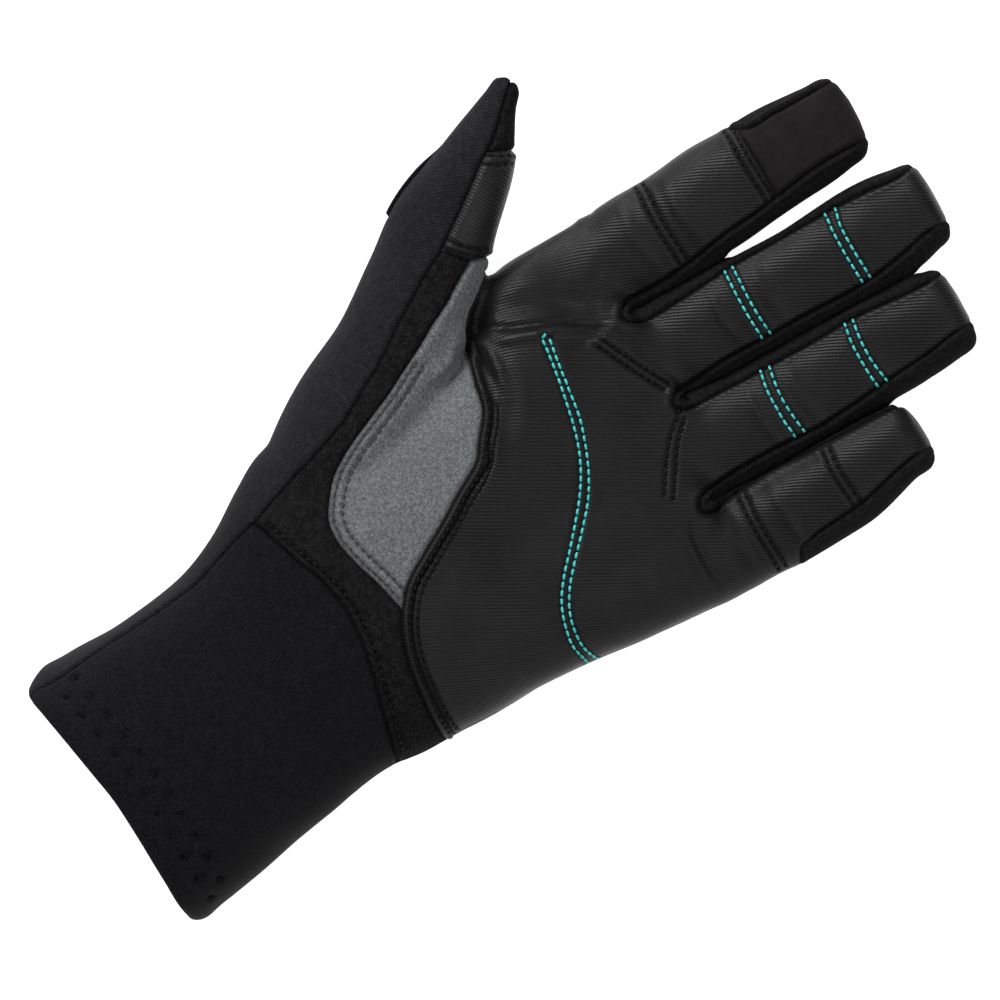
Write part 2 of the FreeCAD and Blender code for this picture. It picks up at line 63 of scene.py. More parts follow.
def node_box(name):
    low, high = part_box(name)
    return np.array(low) / MM, np.array(high) / MM


JOINT = {j["name"]: np.array(j["pos_m"], float) / MM for j in frame["joints"]}
TIP_END = {f: node_box(f"{f}_tip_side_strips")[1] for f in FINGER_NAMES}

# ---------------- tables


def smooth_table(points):
    """A smooth function of one number through the (place, value) pairs."""
    p = np.array(sorted(points), float)
    x, y = p[:, 0], p[:, 1]
    m = np.gradient(y, x)

    def value(q):
        q = np.clip(q, x[0], x[-1])
        i = np.clip(np.searchsorted(x, q, side="right") - 1, 0, len(x) - 2)
        h = x[i + 1] - x[i]
        t = (q - x[i]) / h
        return (y[i] * (2 * t ** 3 - 3 * t ** 2 + 1) + h * m[i] * (t ** 3 - 2 * t ** 2 + t)
                + y[i + 1] * (3 * t ** 2 - 2 * t ** 3) + h * m[i + 1] * (t ** 3 - t ** 2))
    return value


def ramp(q, start, end):
    t = np.clip((q - start) / (end - start), 0, 1)
    return t * t * (3 - 2 * t)


def bell(q, half):
    return np.exp(-(q / half) ** 2)


def curve(points, step=0.5):
    """Evenly spaced plan points on a smooth curve through the given ones."""
    p = np.array(points, float)
    s = np.concatenate([[0], np.cumsum(np.linalg.norm(np.diff(p, axis=0), axis=1))])
    q = np.linspace(0, s[-1], max(2, int(round(s[-1] / step)) + 1))
    return np.column_stack([smooth_table(list(zip(s, p[:, k])))(q) for k in range(2)])

# ---------------- shape tables

# Fingers: distance along Y, left and right edge. The last row is where the rounded end starts.
FINGERS = {
    "index": [(20, -59, -38), (38.7, -61.2, -34.4), (50, -62, -34.4), (59.3, -62.4, -34.2),
              (70, -63.3, -34.4), (83, -63.8, -35), (95, -63.7, -36), (105.6, -63, -36.9),
              (111, -62, -38)],
    "middle": [(30, -31, -10), (40, -33, -8.9), (54, -33.2, -7), (68.7, -33, -6.8), (80, -32.6, -6.4),
               (96, -33, -5.8), (106, -33.2, -5.4), (115, -32.4, -6.1), (120, -31.6, -7.4)],
    "ring": [(30, -6, 17), (40, -7.6, 19.5), (54, -6.3, 20.6), (63.5, -6.1, 20.8), (78, -5.9, 21),
             (91, -5.7, 21.4), (104, -5, 21.2), (111, -4.2, 20.4)],
    "little": [(20, 21, 44.6), (30.8, 21.2, 46.3), (42, 21.4, 46.9), (51, 21.5, 46.8),
               (60, 21.6, 46.6), (69.4, 21.5, 45.8), (78.5, 21.8, 44), (85, 22.3, 42)],
}
CROTCH, LOW_CROTCH = 40.9, 33.0
# While the skin is made the fingers stand apart: shift along X, and where along Y it starts.
SPREAD = {"index": (-4.5, CROTCH), "middle": (-1.5, CROTCH), "ring": (1.5, CROTCH),
          "little": (4.5, LOW_CROTCH)}
SPREAD_LENGTH = 5.0
BETWEEN = (-33.7, -6.4, 20.75)            # x midway between neighbouring fingers
FINGER_END_Y = {f: TIP_END[f][1] for f in FINGERS} | {"middle": 125.7}

# Thumb: plan centre, half width in plan, half height, centre height.
THUMB = [(-31.5, -58, 17, 17, 20), (-42.6, -40, 18.9, 18.3, 20), (-55.5, -18.1, 17.2, 16, 20.5),
         (-69.1, -1.4, 15.4, 13.8, 21), (-77.9, 8.5, 14.3, 13, 22), (-84, 17.8, 12.1, 12.2, 23.6),
         (-88.9, 25.5, 9.9, 11, 25), (-93.7, 31.6, 7.7, 9.8, 26.4), (-97.4, 36, 5.9, 8.4, 27.4),
         (-100.4, 40.2, 4.4, 7, 28)]
THUMB_END = (-102.9, 44.0)
# Hand and cuff: distance along Y, left, right, bottom, top.
HAND = [(-158, -29.8, 48.6, 0.3, 49.6), (-135, -29.9, 48.1, 0.3, 48.6), (-117, -30.2, 45.3, 0.3, 46.6),
        (-105, -31.3, 43, 0.3, 44.8), (-94.4, -33.9, 41.1, 0.3, 43), (-83, -38.5, 39.2, 0.3, 41.2),
        (-73, -45.2, 38.8, 0.3, 40.6), (-64, -50.3, 39.9, 0.3, 40.4), (-55, -52, 40, 0.3, 40),
        (-40, -50, 40.2, 0.3, 39), (-20, -46, 40.8, 0.3, 37), (0, -47, 43.3, 0.3, 34.4),
        (12.6, -60, 44.1, 0.6, 32), (17, -61, 44.4, 1, 31.3), (30.5, -61.2, 45.4, 3, 28.8),
        (33, -61.2, 44, 3.6, 28.4), (35, -61.2, 22, 4, 28), (40.2, -61.3, 20, 5, 27)]
HAND_END = 42.8

# Seams in plan, as (y, x). Between two fingers they start with half of the notch's round.
INDEX_RIGHT = [(37, -33.2), (38.5, -33.4), (38.8, -34.4), (39.3, -35.1), (40.1, -35.7), (41.3, -36),
               (46, -36.3), (59, -37.1), (71, -38.8), (83, -39.7), (90, -40.6), (105, -42.3),
               (115, -42.3), (120, -42.3)]
INDEX_LEFT = [(86, -64), (90, -60.9), (100, -60.2), (114.5, -59.5), (120, -59.2)]
MIDDLE_LEFT = [(36, -34.1), (38.5, -33.8), (38.8, -32.6), (39.3, -31.8), (40.1, -31.2), (41.3, -30.8),
               (46, -30.3), (54, -30.2), (69, -30.9), (87.6, -30.9), (101, -30.6), (110, -30),
               (120, -29.4), (128, -30)]
MIDDLE_RIGHT = [(36, -5.9), (38.5, -6.2), (38.8, -7.3), (39.3, -8.1), (40.1, -8.8), (41.3, -9.3),
                (46, -9.9), (69, -10), (87.6, -9.7), (101, -9.7), (110, -10.9), (119, -12.6),
                (128, -12.6)]
RING_LEFT = [(36, -7), (38.5, -6.6), (38.8, -5.5), (39.3, -4.8), (40.1, -4.3), (41.3, -3.9),
             (46, -3.7), (54, -3.6), (69, -3.2), (87.6, -3), (96, -2.7), (110, -1.5), (120, -1.2)]
RING_RIGHT = [(28, 21.2), (30.5, 21), (30.8, 19.9), (31.3, 19), (32.1, 18.2), (33.4, 17.6), (38, 16.8),
              (42, 16.5), (57, 16.6), (69, 17.3), (78.5, 17), (90.6, 16), (101, 15.4), (111, 13.9),
              (120, 13.3)]
LITTLE_LEFT = [(28, 20.2), (30.5, 20.5), (30.8, 21.4), (31.3, 22), (32.1, 22.4), (33.4, 22.6),
               (39, 22.5), (51, 22.2), (63, 22.5), (78.5, 22.8), (95, 23.4)]
LITTLE_RIGHT = [(40, 50), (46.5, 46.9), (48, 43.6), (52, 42.2), (60.3, 41.2), (70.6, 40), (78.5, 38.2),
                (87.6, 36.6), (95, 36.6)]
TOUCH_START = 89.2
# Each side seam's points, where its strip of fleece starts along Y, and where its cut starts.
SIDE_SEAMS = {
    "index_right": (INDEX_RIGHT, 38, 38), "index_left": (INDEX_LEFT, TOUCH_START - 1.5, TOUCH_START - 2),
    "middle_left": (MIDDLE_LEFT, 37.6, 37.4), "middle_right": (MIDDLE_RIGHT, 37.6, 37.4),
    "ring_left": (RING_LEFT, 37.6, 37.4), "ring_right": (RING_RIGHT, 29.6, 29.4),
    "little_left": (LITTLE_LEFT, 29.6, 29.4), "little_right": (LITTLE_RIGHT, 46.4, 46),
}
# Edges of the other panels, as (x, y).
PALM_EDGE = [(-61.5, 12.5), (-56, 6.1), (-49.6, 0), (-42.9, -2.8), (-38.2, -4.2), (-30.5, -6.1),
             (-24.8, -10.4), (-19, -15.2), (-15.2, -21.9), (-10.4, -29.6), (-5.6, -38.2), (-0.9, -45.8),
             (3.9, -50.1), (11.2, -54.2), (17.3, -56.1), (26.5, -57.5), (31.9, -58), (42, -57.9)]
GUSSET_EDGE = [(-66.2, 11), (-62.3, 4.1), (-59.5, -0.3), (-56.9, -5.6), (-53.4, -11.7),
               (-49.8, -18.9), (-46.7, -25), (-43.9, -31.5), (-39.6, -41.1), (-36.3, -46.8),
               (-30.5, -52.5), (-25.7, -55.4), (-20, -56.1), (-13.3, -54.9), (-3.7, -52.1), (3.9, -50.4)]
BACK_EDGE = [(-103.5, 46), (-101.3, 43.1), (-96.5, 37.9), (-93.2, 34.6), (-90.4, 31.2), (-88.1, 27.6),
             (-82.4, 19.9), (-76.3, 11.2), (-72.2, 5.1), (-69.4, -0.5), (-66.1, -6.1), (-60, -15.8),
             (-54.4, -24), (-51.3, -30), (-46.8, -38.2), (-42.9, -48.7), (-40.1, -58.3), (-38.5, -63.8),
             (-35.5, -72.2), (-33.5, -80.6), (-31.3, -87.5), (-29.3, -93.6), (-28.2, -103.6),
             (-27.3, -115), (-26.7, -126.5), (-26, -135), (-25, -158)]
CUFF_SEAM = [(-48, -76), (-35.5, -73), (-30.1, -71), (-20.9, -68), (-14, -65.3), (-7.1, -63.6),
             (-0.3, -63.2), (9.7, -64.3), (18.9, -66.5), (29.6, -69.4), (38, -71.6), (44, -72.4)]
MOUTH = [(-31, -139.5), (-29.8, -142.8), (-28.4, -145.2), (-26.3, -146.5), (-24, -146.5), (-20, -145.7),
         (-11.7, -144.1), (-0.3, -142.1),
         (9.7, -140.5), (18.9, -140), (34.2, -139.8), (45.7, -139.6), (47.8, -139.2), (49.5, -138)]
GRIP_LOW = [(-60, 26), (-65.1, 15.4), (-66.5, 11), (-73.2, 4.8), (-82, -3)]
GRIP_HIGH = [(-82, 46), (-86, 35.8), (-88.7, 29.3), (-93, 18)]
THUMB_SIDE = (-61.8, 12.5, 3.6)           # x, y and slope of the line up from the web of the thumb

palm_edge_y = smooth_table(PALM_EDGE)
gusset_edge_y = smooth_table(GUSSET_EDGE)
back_edge_x = smooth_table([(y, x) for x, y in BACK_EDGE])
cuff_seam_y = smooth_table(CUFF_SEAM)
mouth_y = smooth_table(MOUTH)
seam_x = {name: smooth_table(points) for name, (points, _, _) in SIDE_SEAMS.items()}
edge_x = {f: [smooth_table([(row[0], row[k]) for row in rows]) for k in (1, 2)]
          for f, rows in FINGERS.items()}


HINGE_ABOVE_CENTRE, TIP_RISE = 4.5, math.radians(13)


def finger_height(f):
    """Centre height and half depth of a finger along Y."""
    hinges = [JOINT[f"{f}_{j}"] for j in ("knuckle", "middle_joint", "tip_joint")]
    end = FINGER_END_Y[f]
    rows = [(20, 15.6)] + [(h[1], h[2] - HINGE_ABOVE_CENTRE) for h in hinges]
    rows.append((end, rows[-1][1] + (end - hinges[-1][1]) * math.tan(TIP_RISE)))
    thin = 0.93 if f == "little" else 1
    depth = [(20, 10.2 * thin), (hinges[0][1], 10.3 * thin), (hinges[1][1], 10.1 * thin),
             (hinges[2][1], 9.5 * thin), (end - 5, 8 * thin), (end, 7.6 * thin)]
    return smooth_table(rows), smooth_table(depth)


HEIGHT = {f: finger_height(f) for f in FINGERS}

# ---------------- the rough skin


RING_STEP = 1.5
HAND_NARROWS = 30.5                       # past this Y the hand's tube stops short of the little finger


def ring_points(centre, across, up, half_width, half_height, power, count=56):
    angle = np.linspace(0, 2 * math.pi, count, endpoint=False)
    c, s = np.cos(angle), np.sin(angle)
    a = np.sign(c) * np.abs(c) ** (2 / power) * half_width
    b = np.sign(s) * np.abs(s) ** (2 / power) * half_height
    return centre + a[:, None] * across + b[:, None] * up


def closed_tube(rings):
    """A closed mesh through rings of equal length, its ends fanned."""
    count = len(rings[0])
    verts = np.vstack(rings + [rings[0].mean(0), rings[-1].mean(0)])
    first, last = len(rings) * count, len(rings) * count + 1
    faces = []
    for k in range(len(rings) - 1):
        for i in range(count):
            j = (i + 1) % count
            a, b = k * count, (k + 1) * count
            faces += [(a + i, a + j, b + j), (a + i, b + j, b + i)]
    top = (len(rings) - 1) * count
    for i in range(count):
        j = (i + 1) % count
        faces += [(first, j, i), (last, top + i, top + j)]
    return verts, np.array(faces)


def finger_tube(f):
    left, right = edge_x[f]
    centre_z, half_z = HEIGHT[f]
    cap_start, end = FINGERS[f][-1][0], FINGER_END_Y[f]
    cap = end - cap_start
    shift, crotch = SPREAD[f]
    rings = []
    for y in np.concatenate([np.arange(FINGERS[f][0][0], end - cap, RING_STEP),
                             end - cap * (1 - np.linspace(0, 0.995, 9))]):
        t = max(0.0, (y - (end - cap)) / cap)
        a = (right(y) - left(y)) / 2 * (1 - t ** 3.4) ** (1 / 3.4)
        b = half_z(y) * (1 - t ** 2.3) ** (1 / 2.3)
        x = (right(y) + left(y)) / 2 + shift * ramp(y, crotch, crotch + SPREAD_LENGTH)
        rings.append(ring_points(np.array([x, y, centre_z(y)]), np.array([1.0, 0, 0]),
                                 np.array([0, 0, 1.0]), a, b, 2.5))
    return closed_tube(rings)


def thumb_tube():
    p = np.array(THUMB, float)
    s = np.concatenate([[0], np.cumsum(np.linalg.norm(np.diff(p[:, :2], axis=0), axis=1))])
    at = [smooth_table(list(zip(s, p[:, k]))) for k in range(5)]
    cap = np.linalg.norm(np.array(THUMB_END) - p[-1, :2])
    rings = []
    for q in np.concatenate([np.arange(0, s[-1], RING_STEP), s[-1] + cap * np.linspace(0, 0.99, 8)]):
        t = max(0.0, (q - s[-1]) / cap)
        tangent = np.array([at[0](q) - at[0](q - 2), at[1](q) - at[1](q - 2), 0.0])
        centre = np.array([at[0](q), at[1](q), at[4](q)])
        if q > s[-1]:
            tangent = np.array([*(np.array(THUMB_END) - p[-1, :2]), 0.0])
            centre[:2] = p[-1, :2] + tangent[:2] * t
            centre[2] += 1.2 * t
        elif q < 2:
            tangent = np.array([at[0](2) - at[0](0), at[1](2) - at[1](0), 0.0])
        tangent /= np.linalg.norm(tangent)
        across = np.array([tangent[1], -tangent[0], 0.0])
        round_end = (1 - t ** 2.4) ** (1 / 2.4)
        rings.append(ring_points(centre, across, np.array([0, 0, 1.0]), at[2](q) * round_end,
                                 at[3](q) * round_end, 2.2))
    return closed_tube(rings)


def hand_tube():
    """The hand and the cuff, a little past the cuff's mouth."""
    rows = np.array(HAND, float)
    at = [smooth_table(list(zip(rows[:, 0], rows[:, k]))) for k in range(1, 5)]
    rings = []
    cap = HAND_END - HAND[-1][0]
    for y in np.concatenate([np.arange(HAND[0][0], HAND[-1][0], RING_STEP),
                             HAND_END - cap * (1 - np.linspace(0, 0.99, 6))]):
        t = max(0.0, (y - HAND[-1][0]) / cap)
        left, right, bottom, top = [f(y) for f in at]
        if y > HAND_NARROWS:
            right = np.interp(y, rows[:, 0], rows[:, 2])
        b = (top - bottom) / 2 * (1 - t ** 2) ** 0.5
        a = (right - left) / 2 * (1 - 0.02 * t)
        power = float(np.interp(y, (-150, -90, -60, 0, 20), (2.5, 2.4, 2.5, 2.7, 3.2)))
        rings.append(ring_points(np.array([(left + right) / 2, y, (top + bottom) / 2]),
                                 np.array([1.0, 0, 0]), np.array([0, 0, 1.0]), a, b, power, 96))
    return closed_tube(rings)


def raw_mesh(name, verts, tris):
    """A mesh of triangles, in metres."""
    mesh = bpy.data.meshes.new(name)
    mesh.vertices.add(len(verts))
    mesh.vertices.foreach_set("co", (np.asarray(verts) * MM).astype(np.float32).ravel())
    mesh.loops.add(len(tris) * 3)
    mesh.loops.foreach_set("vertex_index", np.asarray(tris).astype(np.int32).ravel())
    mesh.polygons.add(len(tris))
    mesh.polygons.foreach_set("loop_start", np.arange(0, 3 * len(tris), 3, dtype=np.int32))
    mesh.polygons.foreach_set("use_smooth", np.ones(len(tris), bool))
    mesh.update(calc_edges=True)
    return mesh


def remeshed(parts):
    """One even skin round all the closed parts, softened where they meet."""
    verts, tris, start = [], [], 0
    for v, t in parts:
        verts.append(v)
        tris.append(t + start)
        start += len(v)
    rough = bpy.data.objects.new("rough", raw_mesh("rough", np.vstack(verts), np.vstack(tris)))
    bpy.context.scene.collection.objects.link(rough)
    remesh = rough.modifiers.new("even", "REMESH")
    remesh.mode, remesh.voxel_size = "VOXEL", VOXEL * MM
    soften = rough.modifiers.new("soften", "SMOOTH")
    soften.factor, soften.iterations = 0.5, 7
    mesh = rough.evaluated_get(bpy.context.evaluated_depsgraph_get()).to_mesh()
    mesh.calc_loop_triangles()
    v = np.zeros(len(mesh.vertices) * 3, np.float32)
    mesh.vertices.foreach_get("co", v)
    t = np.zeros(len(mesh.loop_triangles) * 3, np.int32)
    mesh.loop_triangles.foreach_get("vertices", t)
    bpy.data.objects.remove(rough)
    v, t = v.reshape(-1, 3).astype(float) / MM, t.reshape(-1, 3).astype(np.int64)
    a, b, c = v[t[:, 0]], v[t[:, 1]], v[t[:, 2]]
    if np.einsum("ij,ij->i", a, np.cross(b, c)).sum() < 0:
        t = t[:, ::-1].copy()
    return v, t


def vertex_normals(v, t, rows=slice(None)):
    n = np.zeros_like(v)
    tri = t[rows]
    face = np.cross(v[tri[:, 1]] - v[tri[:, 0]], v[tri[:, 2]] - v[tri[:, 0]])
    for k in range(3):
        np.add.at(n, tri[:, k], face)
    return n / np.maximum(np.linalg.norm(n, axis=1), 1e-12)[:, None]


NOTCHES = ((-33.3, 41.5), (-8.5, 41.5), (19.4, 34))
NOTCH_SPREAD = 3.0                        # how far each side of a notch moves while the skin is made


def soften_roots(v, t):
    """Ease the palm into the fingers, away from the notches between them."""
    pairs = np.vstack([t[:, [0, 1]], t[:, [1, 2]], t[:, [2, 0]]])
    normal = vertex_normals(v, t)
    share = ramp(v[:, 1], 22, 32) * (1 - ramp(v[:, 1], 46, 54)) * ramp(normal[:, 2], 0.3, 0.7)
    side = ramp(v[:, 0], 36, 40) * ramp(v[:, 1], 16, 22) * (1 - ramp(v[:, 1], 42, 48))
    share = np.maximum(share, side)
    for x, y in NOTCHES:
        share *= ramp(np.hypot(v[:, 0] - x, (v[:, 1] - y) * 0.6), 2.0, 5.0)
    count = np.zeros(len(v))
    np.add.at(count, pairs[:, 0], 1)
    for _ in range(40):
        total = np.zeros_like(v)
        np.add.at(total, pairs[:, 0], v[pairs[:, 1]])
        v = v + 0.5 * share[:, None] * (total / count[:, None] - v)
    return v


def close_fingers(v):
    """Move the fingers back together after the skin was made with them spread."""
    x, y = v[:, 0].copy(), v[:, 1]
    apart = NOTCH_SPREAD * ramp(y, CROTCH, CROTCH + SPREAD_LENGTH)
    apart_low = NOTCH_SPREAD * ramp(y, LOW_CROTCH, LOW_CROTCH + SPREAD_LENGTH)
    bounds = BETWEEN[0] - apart, BETWEEN[1], BETWEEN[2] + apart_low
    which = sum((x > bound).astype(int) for bound in bounds)
    thumb = thumb_side(v) > 0
    for i, f in enumerate(FINGERS):
        shift, crotch = SPREAD[f]
        moved = (which == i) & ~thumb
        v[moved, 0] = x[moved] - shift * ramp(y[moved], crotch, crotch + SPREAD_LENGTH)
    return v


def thumb_side(p):
    """Above zero on the thumb's side of the gap between thumb and index finger."""
    x0, y0, slope = THUMB_SIDE
    return (x0 - (p[:, 1] - y0) / slope) - p[:, 0]

# ---------------- cutting the skin into panels

PALM, BINDING, TOUCH, FLEECE, BACK, GUSSET, GRIP, WIPE, CUFF_FRONT, CUFF_BACK = FABRICS = range(10)
THUMB_BASE = JOINT["thumb_base"][:2]
THUMB_AXIS = np.array([-0.614, 0.789])
THUMB_LEFT = np.array([-0.789, -0.614])
WIPE_ALONG, WIPE_ROUND = (8.5, 32.2), (-75, 5)     # millimetres along the thumb, degrees round it
ZONE_START = {"index": 39, "middle": 39, "ring": 39.5, "little": 31.5}
ZONE_SPLIT = {f: ((JOINT[f"{f}_knuckle"][1] + JOINT[f"{f}_middle_joint"][1]) / 2,
                  (JOINT[f"{f}_middle_joint"][1] + JOINT[f"{f}_tip_joint"][1]) / 2) for f in FINGERS}
ZONE_SPLIT["little"] = (37.4, ZONE_SPLIT["little"][1])
WEB_POINT = np.array([-62.5, 12.5])
WEB_TURN = np.array([-0.857, 0.515])
WEB_LENGTH = 10.0
WRIST_START, WRIST_SPLIT, WRIST_END = -66.0, -45.0, -96.0


def finger_index(p):
    """Which finger's strip of the plan each point is in, from 0 for the index finger."""
    return sum((p[:, 0] > x).astype(int) for x in BETWEEN)


def web_distance(p):
    """How far each point is along the thumb, past the web."""
    return (p[:, :2] - WEB_POINT) @ WEB_TURN


def side_height(p):
    """Height at which the panels of the palm side meet the back."""
    x, y = p[:, 0], p[:, 1]
    height = np.interp(y, (-150, -105, -84, -60, -44, -30, 20, 36),
                       (19, 18, 22, 22.5, 21, 13.5, 12.5, 11.8))
    which = finger_index(p)
    thumb = thumb_side(p) > 0
    for i, f in enumerate(FINGERS):
        centre, half = HEIGHT[f]
        start = SPREAD[f][1] - 2
        part = (which == i) & ~thumb & (y > start)
        level = centre(y[part]) - 0.45 * half(y[part])
        blend = ramp(y[part], start, start + 6)
        height[part] = height[part] * (1 - blend) + level * blend
    along = (p[:, :2] - THUMB_BASE) @ THUMB_AXIS
    part = (thumb | (web_distance(p) > 0) & (y < 14)) & (x < -55)
    height[part] = np.interp(along[part], (-5, 5, 20, 45, 60), (12.5, 12.5, 14, 20, 22.5))
    return height


def palm_edge(p):
    """Above zero on the palm's side of its edge, in millimetres."""
    x = np.clip(p[:, 0], PALM_EDGE[0][0], PALM_EDGE[-1][0])
    slope = palm_edge_y(x + 0.5) - palm_edge_y(x - 0.5)
    inside = (p[:, 1] - palm_edge_y(x)) / np.sqrt(1 + slope ** 2)
    web = p[:, 0] < PALM_EDGE[0][0] + 1.5
    inside[web] = np.minimum(inside[web], -thumb_side(p[web]) * 0.96)
    return inside


def polyline_side(p, points):
    """Signed distance to the nearest run of a plan polyline, above zero on its left."""
    best, side = np.full(len(p), 1e9), np.zeros(len(p))
    for (ax, ay), (bx, by) in zip(points[:-1], points[1:]):
        dx, dy = bx - ax, by - ay
        t = np.clip(((p[:, 0] - ax) * dx + (p[:, 1] - ay) * dy) / (dx * dx + dy * dy), 0, 1)
        gap = np.hypot(p[:, 0] - ax - t * dx, p[:, 1] - ay - t * dy)
        cross = dx * (p[:, 1] - ay) - dy * (p[:, 0] - ax)
        near = gap < best
        best[near], side[near] = gap[near], np.sign(cross[near]) * gap[near]
    return side


def round_thumb(p):
    """Distance along the thumb, and the angle round it from its left edge, towards the camera."""
    along = (p[:, :2] - THUMB_BASE) @ THUMB_AXIS
    left = (p[:, :2] - THUMB_BASE) @ THUMB_LEFT + 0.05 * np.maximum(along - 10, 0)
    angle = np.degrees(np.arctan2(p[:, 2] - np.interp(along, (10, 20, 30), (22, 23.7, 25)), left))
    return along, np.where(left > 2, angle, np.nan)


def fabrics(p):
    """Which fabric covers each point of the skin."""
    x, y, z = p.T
    up = z > side_height(p)
    out = np.full(len(p), PALM)
    thumb = thumb_side(p) > 0
    which = finger_index(p)
    fingers = ~thumb & (y > 28)
    strip = np.zeros(len(p), bool)
    for name, (_, start, _) in SIDE_SEAMS.items():
        finger, side = name.split("_")
        past = x > seam_x[name](y) if side == "right" else x < seam_x[name](y)
        strip |= fingers & (which == FINGER_NAMES.index(finger)) & past & (y > start)
    edge = palm_edge(p)
    out[fingers & (which == 0) & (y > TOUCH_START) & ~strip] = TOUCH
    hand = ~fingers | (y < 31)
    out[(edge < BINDING_WIDTH) & (x > -49) & hand & ~thumb] = BINDING
    out[strip] = FLEECE
    outside = (edge < 0) & (thumb | (y < 20))
    gusset = (x >= GUSSET_EDGE[0][0]) & (x < 4) & (y > gusset_edge_y(x))
    out[outside] = FLEECE
    out[outside & gusset] = GUSSET
    beyond = outside & (x < -55) & (polyline_side(p, GRIP_LOW) < 0)
    out[beyond] = FLEECE
    out[beyond & (polyline_side(p, GRIP_HIGH) > 0)] = GRIP
    out[(x < back_edge_x(y)) & (edge < 0) | ~up] = BACK
    along, angle = round_thumb(p)
    out[(along > WIPE_ALONG[0]) & (along < WIPE_ALONG[1]) & (angle > WIPE_ROUND[0])
        & (angle < WIPE_ROUND[1]) & (x < -60)] = WIPE
    cuff = y < cuff_line(p)
    out[cuff] = CUFF_BACK
    out[cuff & up & (x > back_edge_x(y))] = CUFF_FRONT
    return out


def cuff_line(p):
    """Where the cuff's seam is along Y: straight behind, curved on the palm side."""
    top = ramp(p[:, 2], 10, 28)
    return -72.5 * (1 - top) + cuff_seam_y(p[:, 0]) * top


BINDING_WIDTH = 2.8
# Each field is zero along a line where the skin is cut, and nan where that line doesn't go.
CUTS = [
    lambda p: p[:, 1] - cuff_line(p),
    lambda p: np.where(p[:, 2] > 10, p[:, 0] - back_edge_x(p[:, 1]), np.nan),
    lambda p: np.where((p[:, 2] > 9) & (p[:, 1] < 50), palm_edge(p), np.nan),
    lambda p: np.where((p[:, 2] > 12) & (p[:, 1] < 4), palm_edge(p) - BINDING_WIDTH, np.nan),
    lambda p: np.where((p[:, 2] > 9) & (p[:, 0] < 6) & (p[:, 0] > -66.2) & (p[:, 1] < 20),
                       p[:, 1] - gusset_edge_y(p[:, 0]), np.nan),
    lambda p: np.where((p[:, 2] > 8) & (p[:, 0] < -58), polyline_side(p, GRIP_LOW), np.nan),
    lambda p: np.where((p[:, 2] > 8) & (p[:, 0] < -80), polyline_side(p, GRIP_HIGH), np.nan),
]


def finger_cut(name, bottom, low, high):
    """A cut along a side seam, on the palm side of one finger."""
    def field(p):
        near = (p[:, 1] > bottom) & (p[:, 0] > low) & (p[:, 0] < high) & (p[:, 2] > 10)
        return np.where(near & (thumb_side(p) < 0), p[:, 0] - seam_x[name](p[:, 1]), np.nan)
    return field


def height_cut(level, low, high, start):
    """A cut across a finger at one distance along Y."""
    def field(p):
        near = (p[:, 0] > low) & (p[:, 0] < high) & (p[:, 1] > start) & (thumb_side(p) < 0)
        return np.where(near, p[:, 1] - level, np.nan)
    return field


finger_spans = dict(zip(FINGERS, zip((-80, *BETWEEN), (*BETWEEN, 60))))
for seam, (_, _, bottom) in SIDE_SEAMS.items():
    CUTS.append(finger_cut(seam, bottom, *finger_spans[seam.split("_")[0]]))
for f, (low, high) in finger_spans.items():
    for level in (ZONE_START[f], *ZONE_SPLIT[f]):
        CUTS.append(height_cut(level, low, high, 25))
CUTS.append(height_cut(TOUCH_START, *finger_spans["index"], 60))
CUTS.append(lambda p: np.where(np.abs(p[:, 1] - WRIST_SPLIT) < 8, p[:, 1] - WRIST_SPLIT, np.nan))
CUTS += [lambda p, d=d: np.where((p[:, 0] < -55) & ((thumb_side(p) > -2) | (p[:, 1] < 14)),
                                 web_distance(p) - d, np.nan) for d in (0, WEB_LENGTH)]
CUTS.append(lambda p: p[:, 2] - side_height(p))
CUTS += [lambda p, a=a: np.where(p[:, 0] < -60, round_thumb(p)[1] - a, np.nan) for a in WIPE_ROUND]
CUTS += [lambda p, s=s: np.where((p[:, 0] < -60) & (np.abs(round_thumb(p)[1] + 26) < 54),
                                 round_thumb(p)[0] - s, np.nan) for s in WIPE_ALONG]
CUTS.append(lambda p: np.where(p[:, 1] < -120, p[:, 1] - mouth_y(p[:, 0]), np.nan))


def split_edges(v, t, keys, places):
    """Split the listed edges, each at its place along it, with every triangle that has one."""
    n = len(v)
    a, b = keys // n, keys % n
    made = v[a] * (1 - places[:, None]) + v[b] * places[:, None]
    corner = [t[:, 0], t[:, 1], t[:, 2]]
    mid = []
    for i in range(3):
        p, q = corner[i], corner[(i + 1) % 3]
        key = np.minimum(p, q) * n + np.maximum(p, q)
        at = np.clip(np.searchsorted(keys, key), 0, len(keys) - 1)
        mid.append(np.where(keys[at] == key, n + at, -1))
    code = (mid[0] >= 0) + 2 * (mid[1] >= 0) + 4 * (mid[2] >= 0)
    out = [t[code == 0]]
    A, B, C, P, Q, R = range(6)
    patterns = {1: ((A, P, C), (P, B, C)), 2: ((A, B, Q), (A, Q, C)), 4: ((A, B, R), (R, B, C)),
                3: ((P, B, Q), (A, P, Q), (A, Q, C)), 6: ((Q, C, R), (A, B, Q), (A, Q, R)),
                5: ((A, P, R), (P, B, C), (P, C, R)), 7: ((A, P, R), (P, B, Q), (Q, C, R), (P, Q, R))}
    for kind, shapes in patterns.items():
        rows = code == kind
        if rows.any():
            six = [c[rows] for c in corner] + [m[rows] for m in mid]
            out += [np.column_stack([six[i] for i in shape]) for shape in shapes]
    return np.vstack([v, made]), np.vstack(out)


def edge_keys(t, n):
    pairs = np.vstack([t[:, [0, 1]], t[:, [1, 2]], t[:, [2, 0]]])
    return np.unique(pairs.min(1) * n + pairs.max(1))


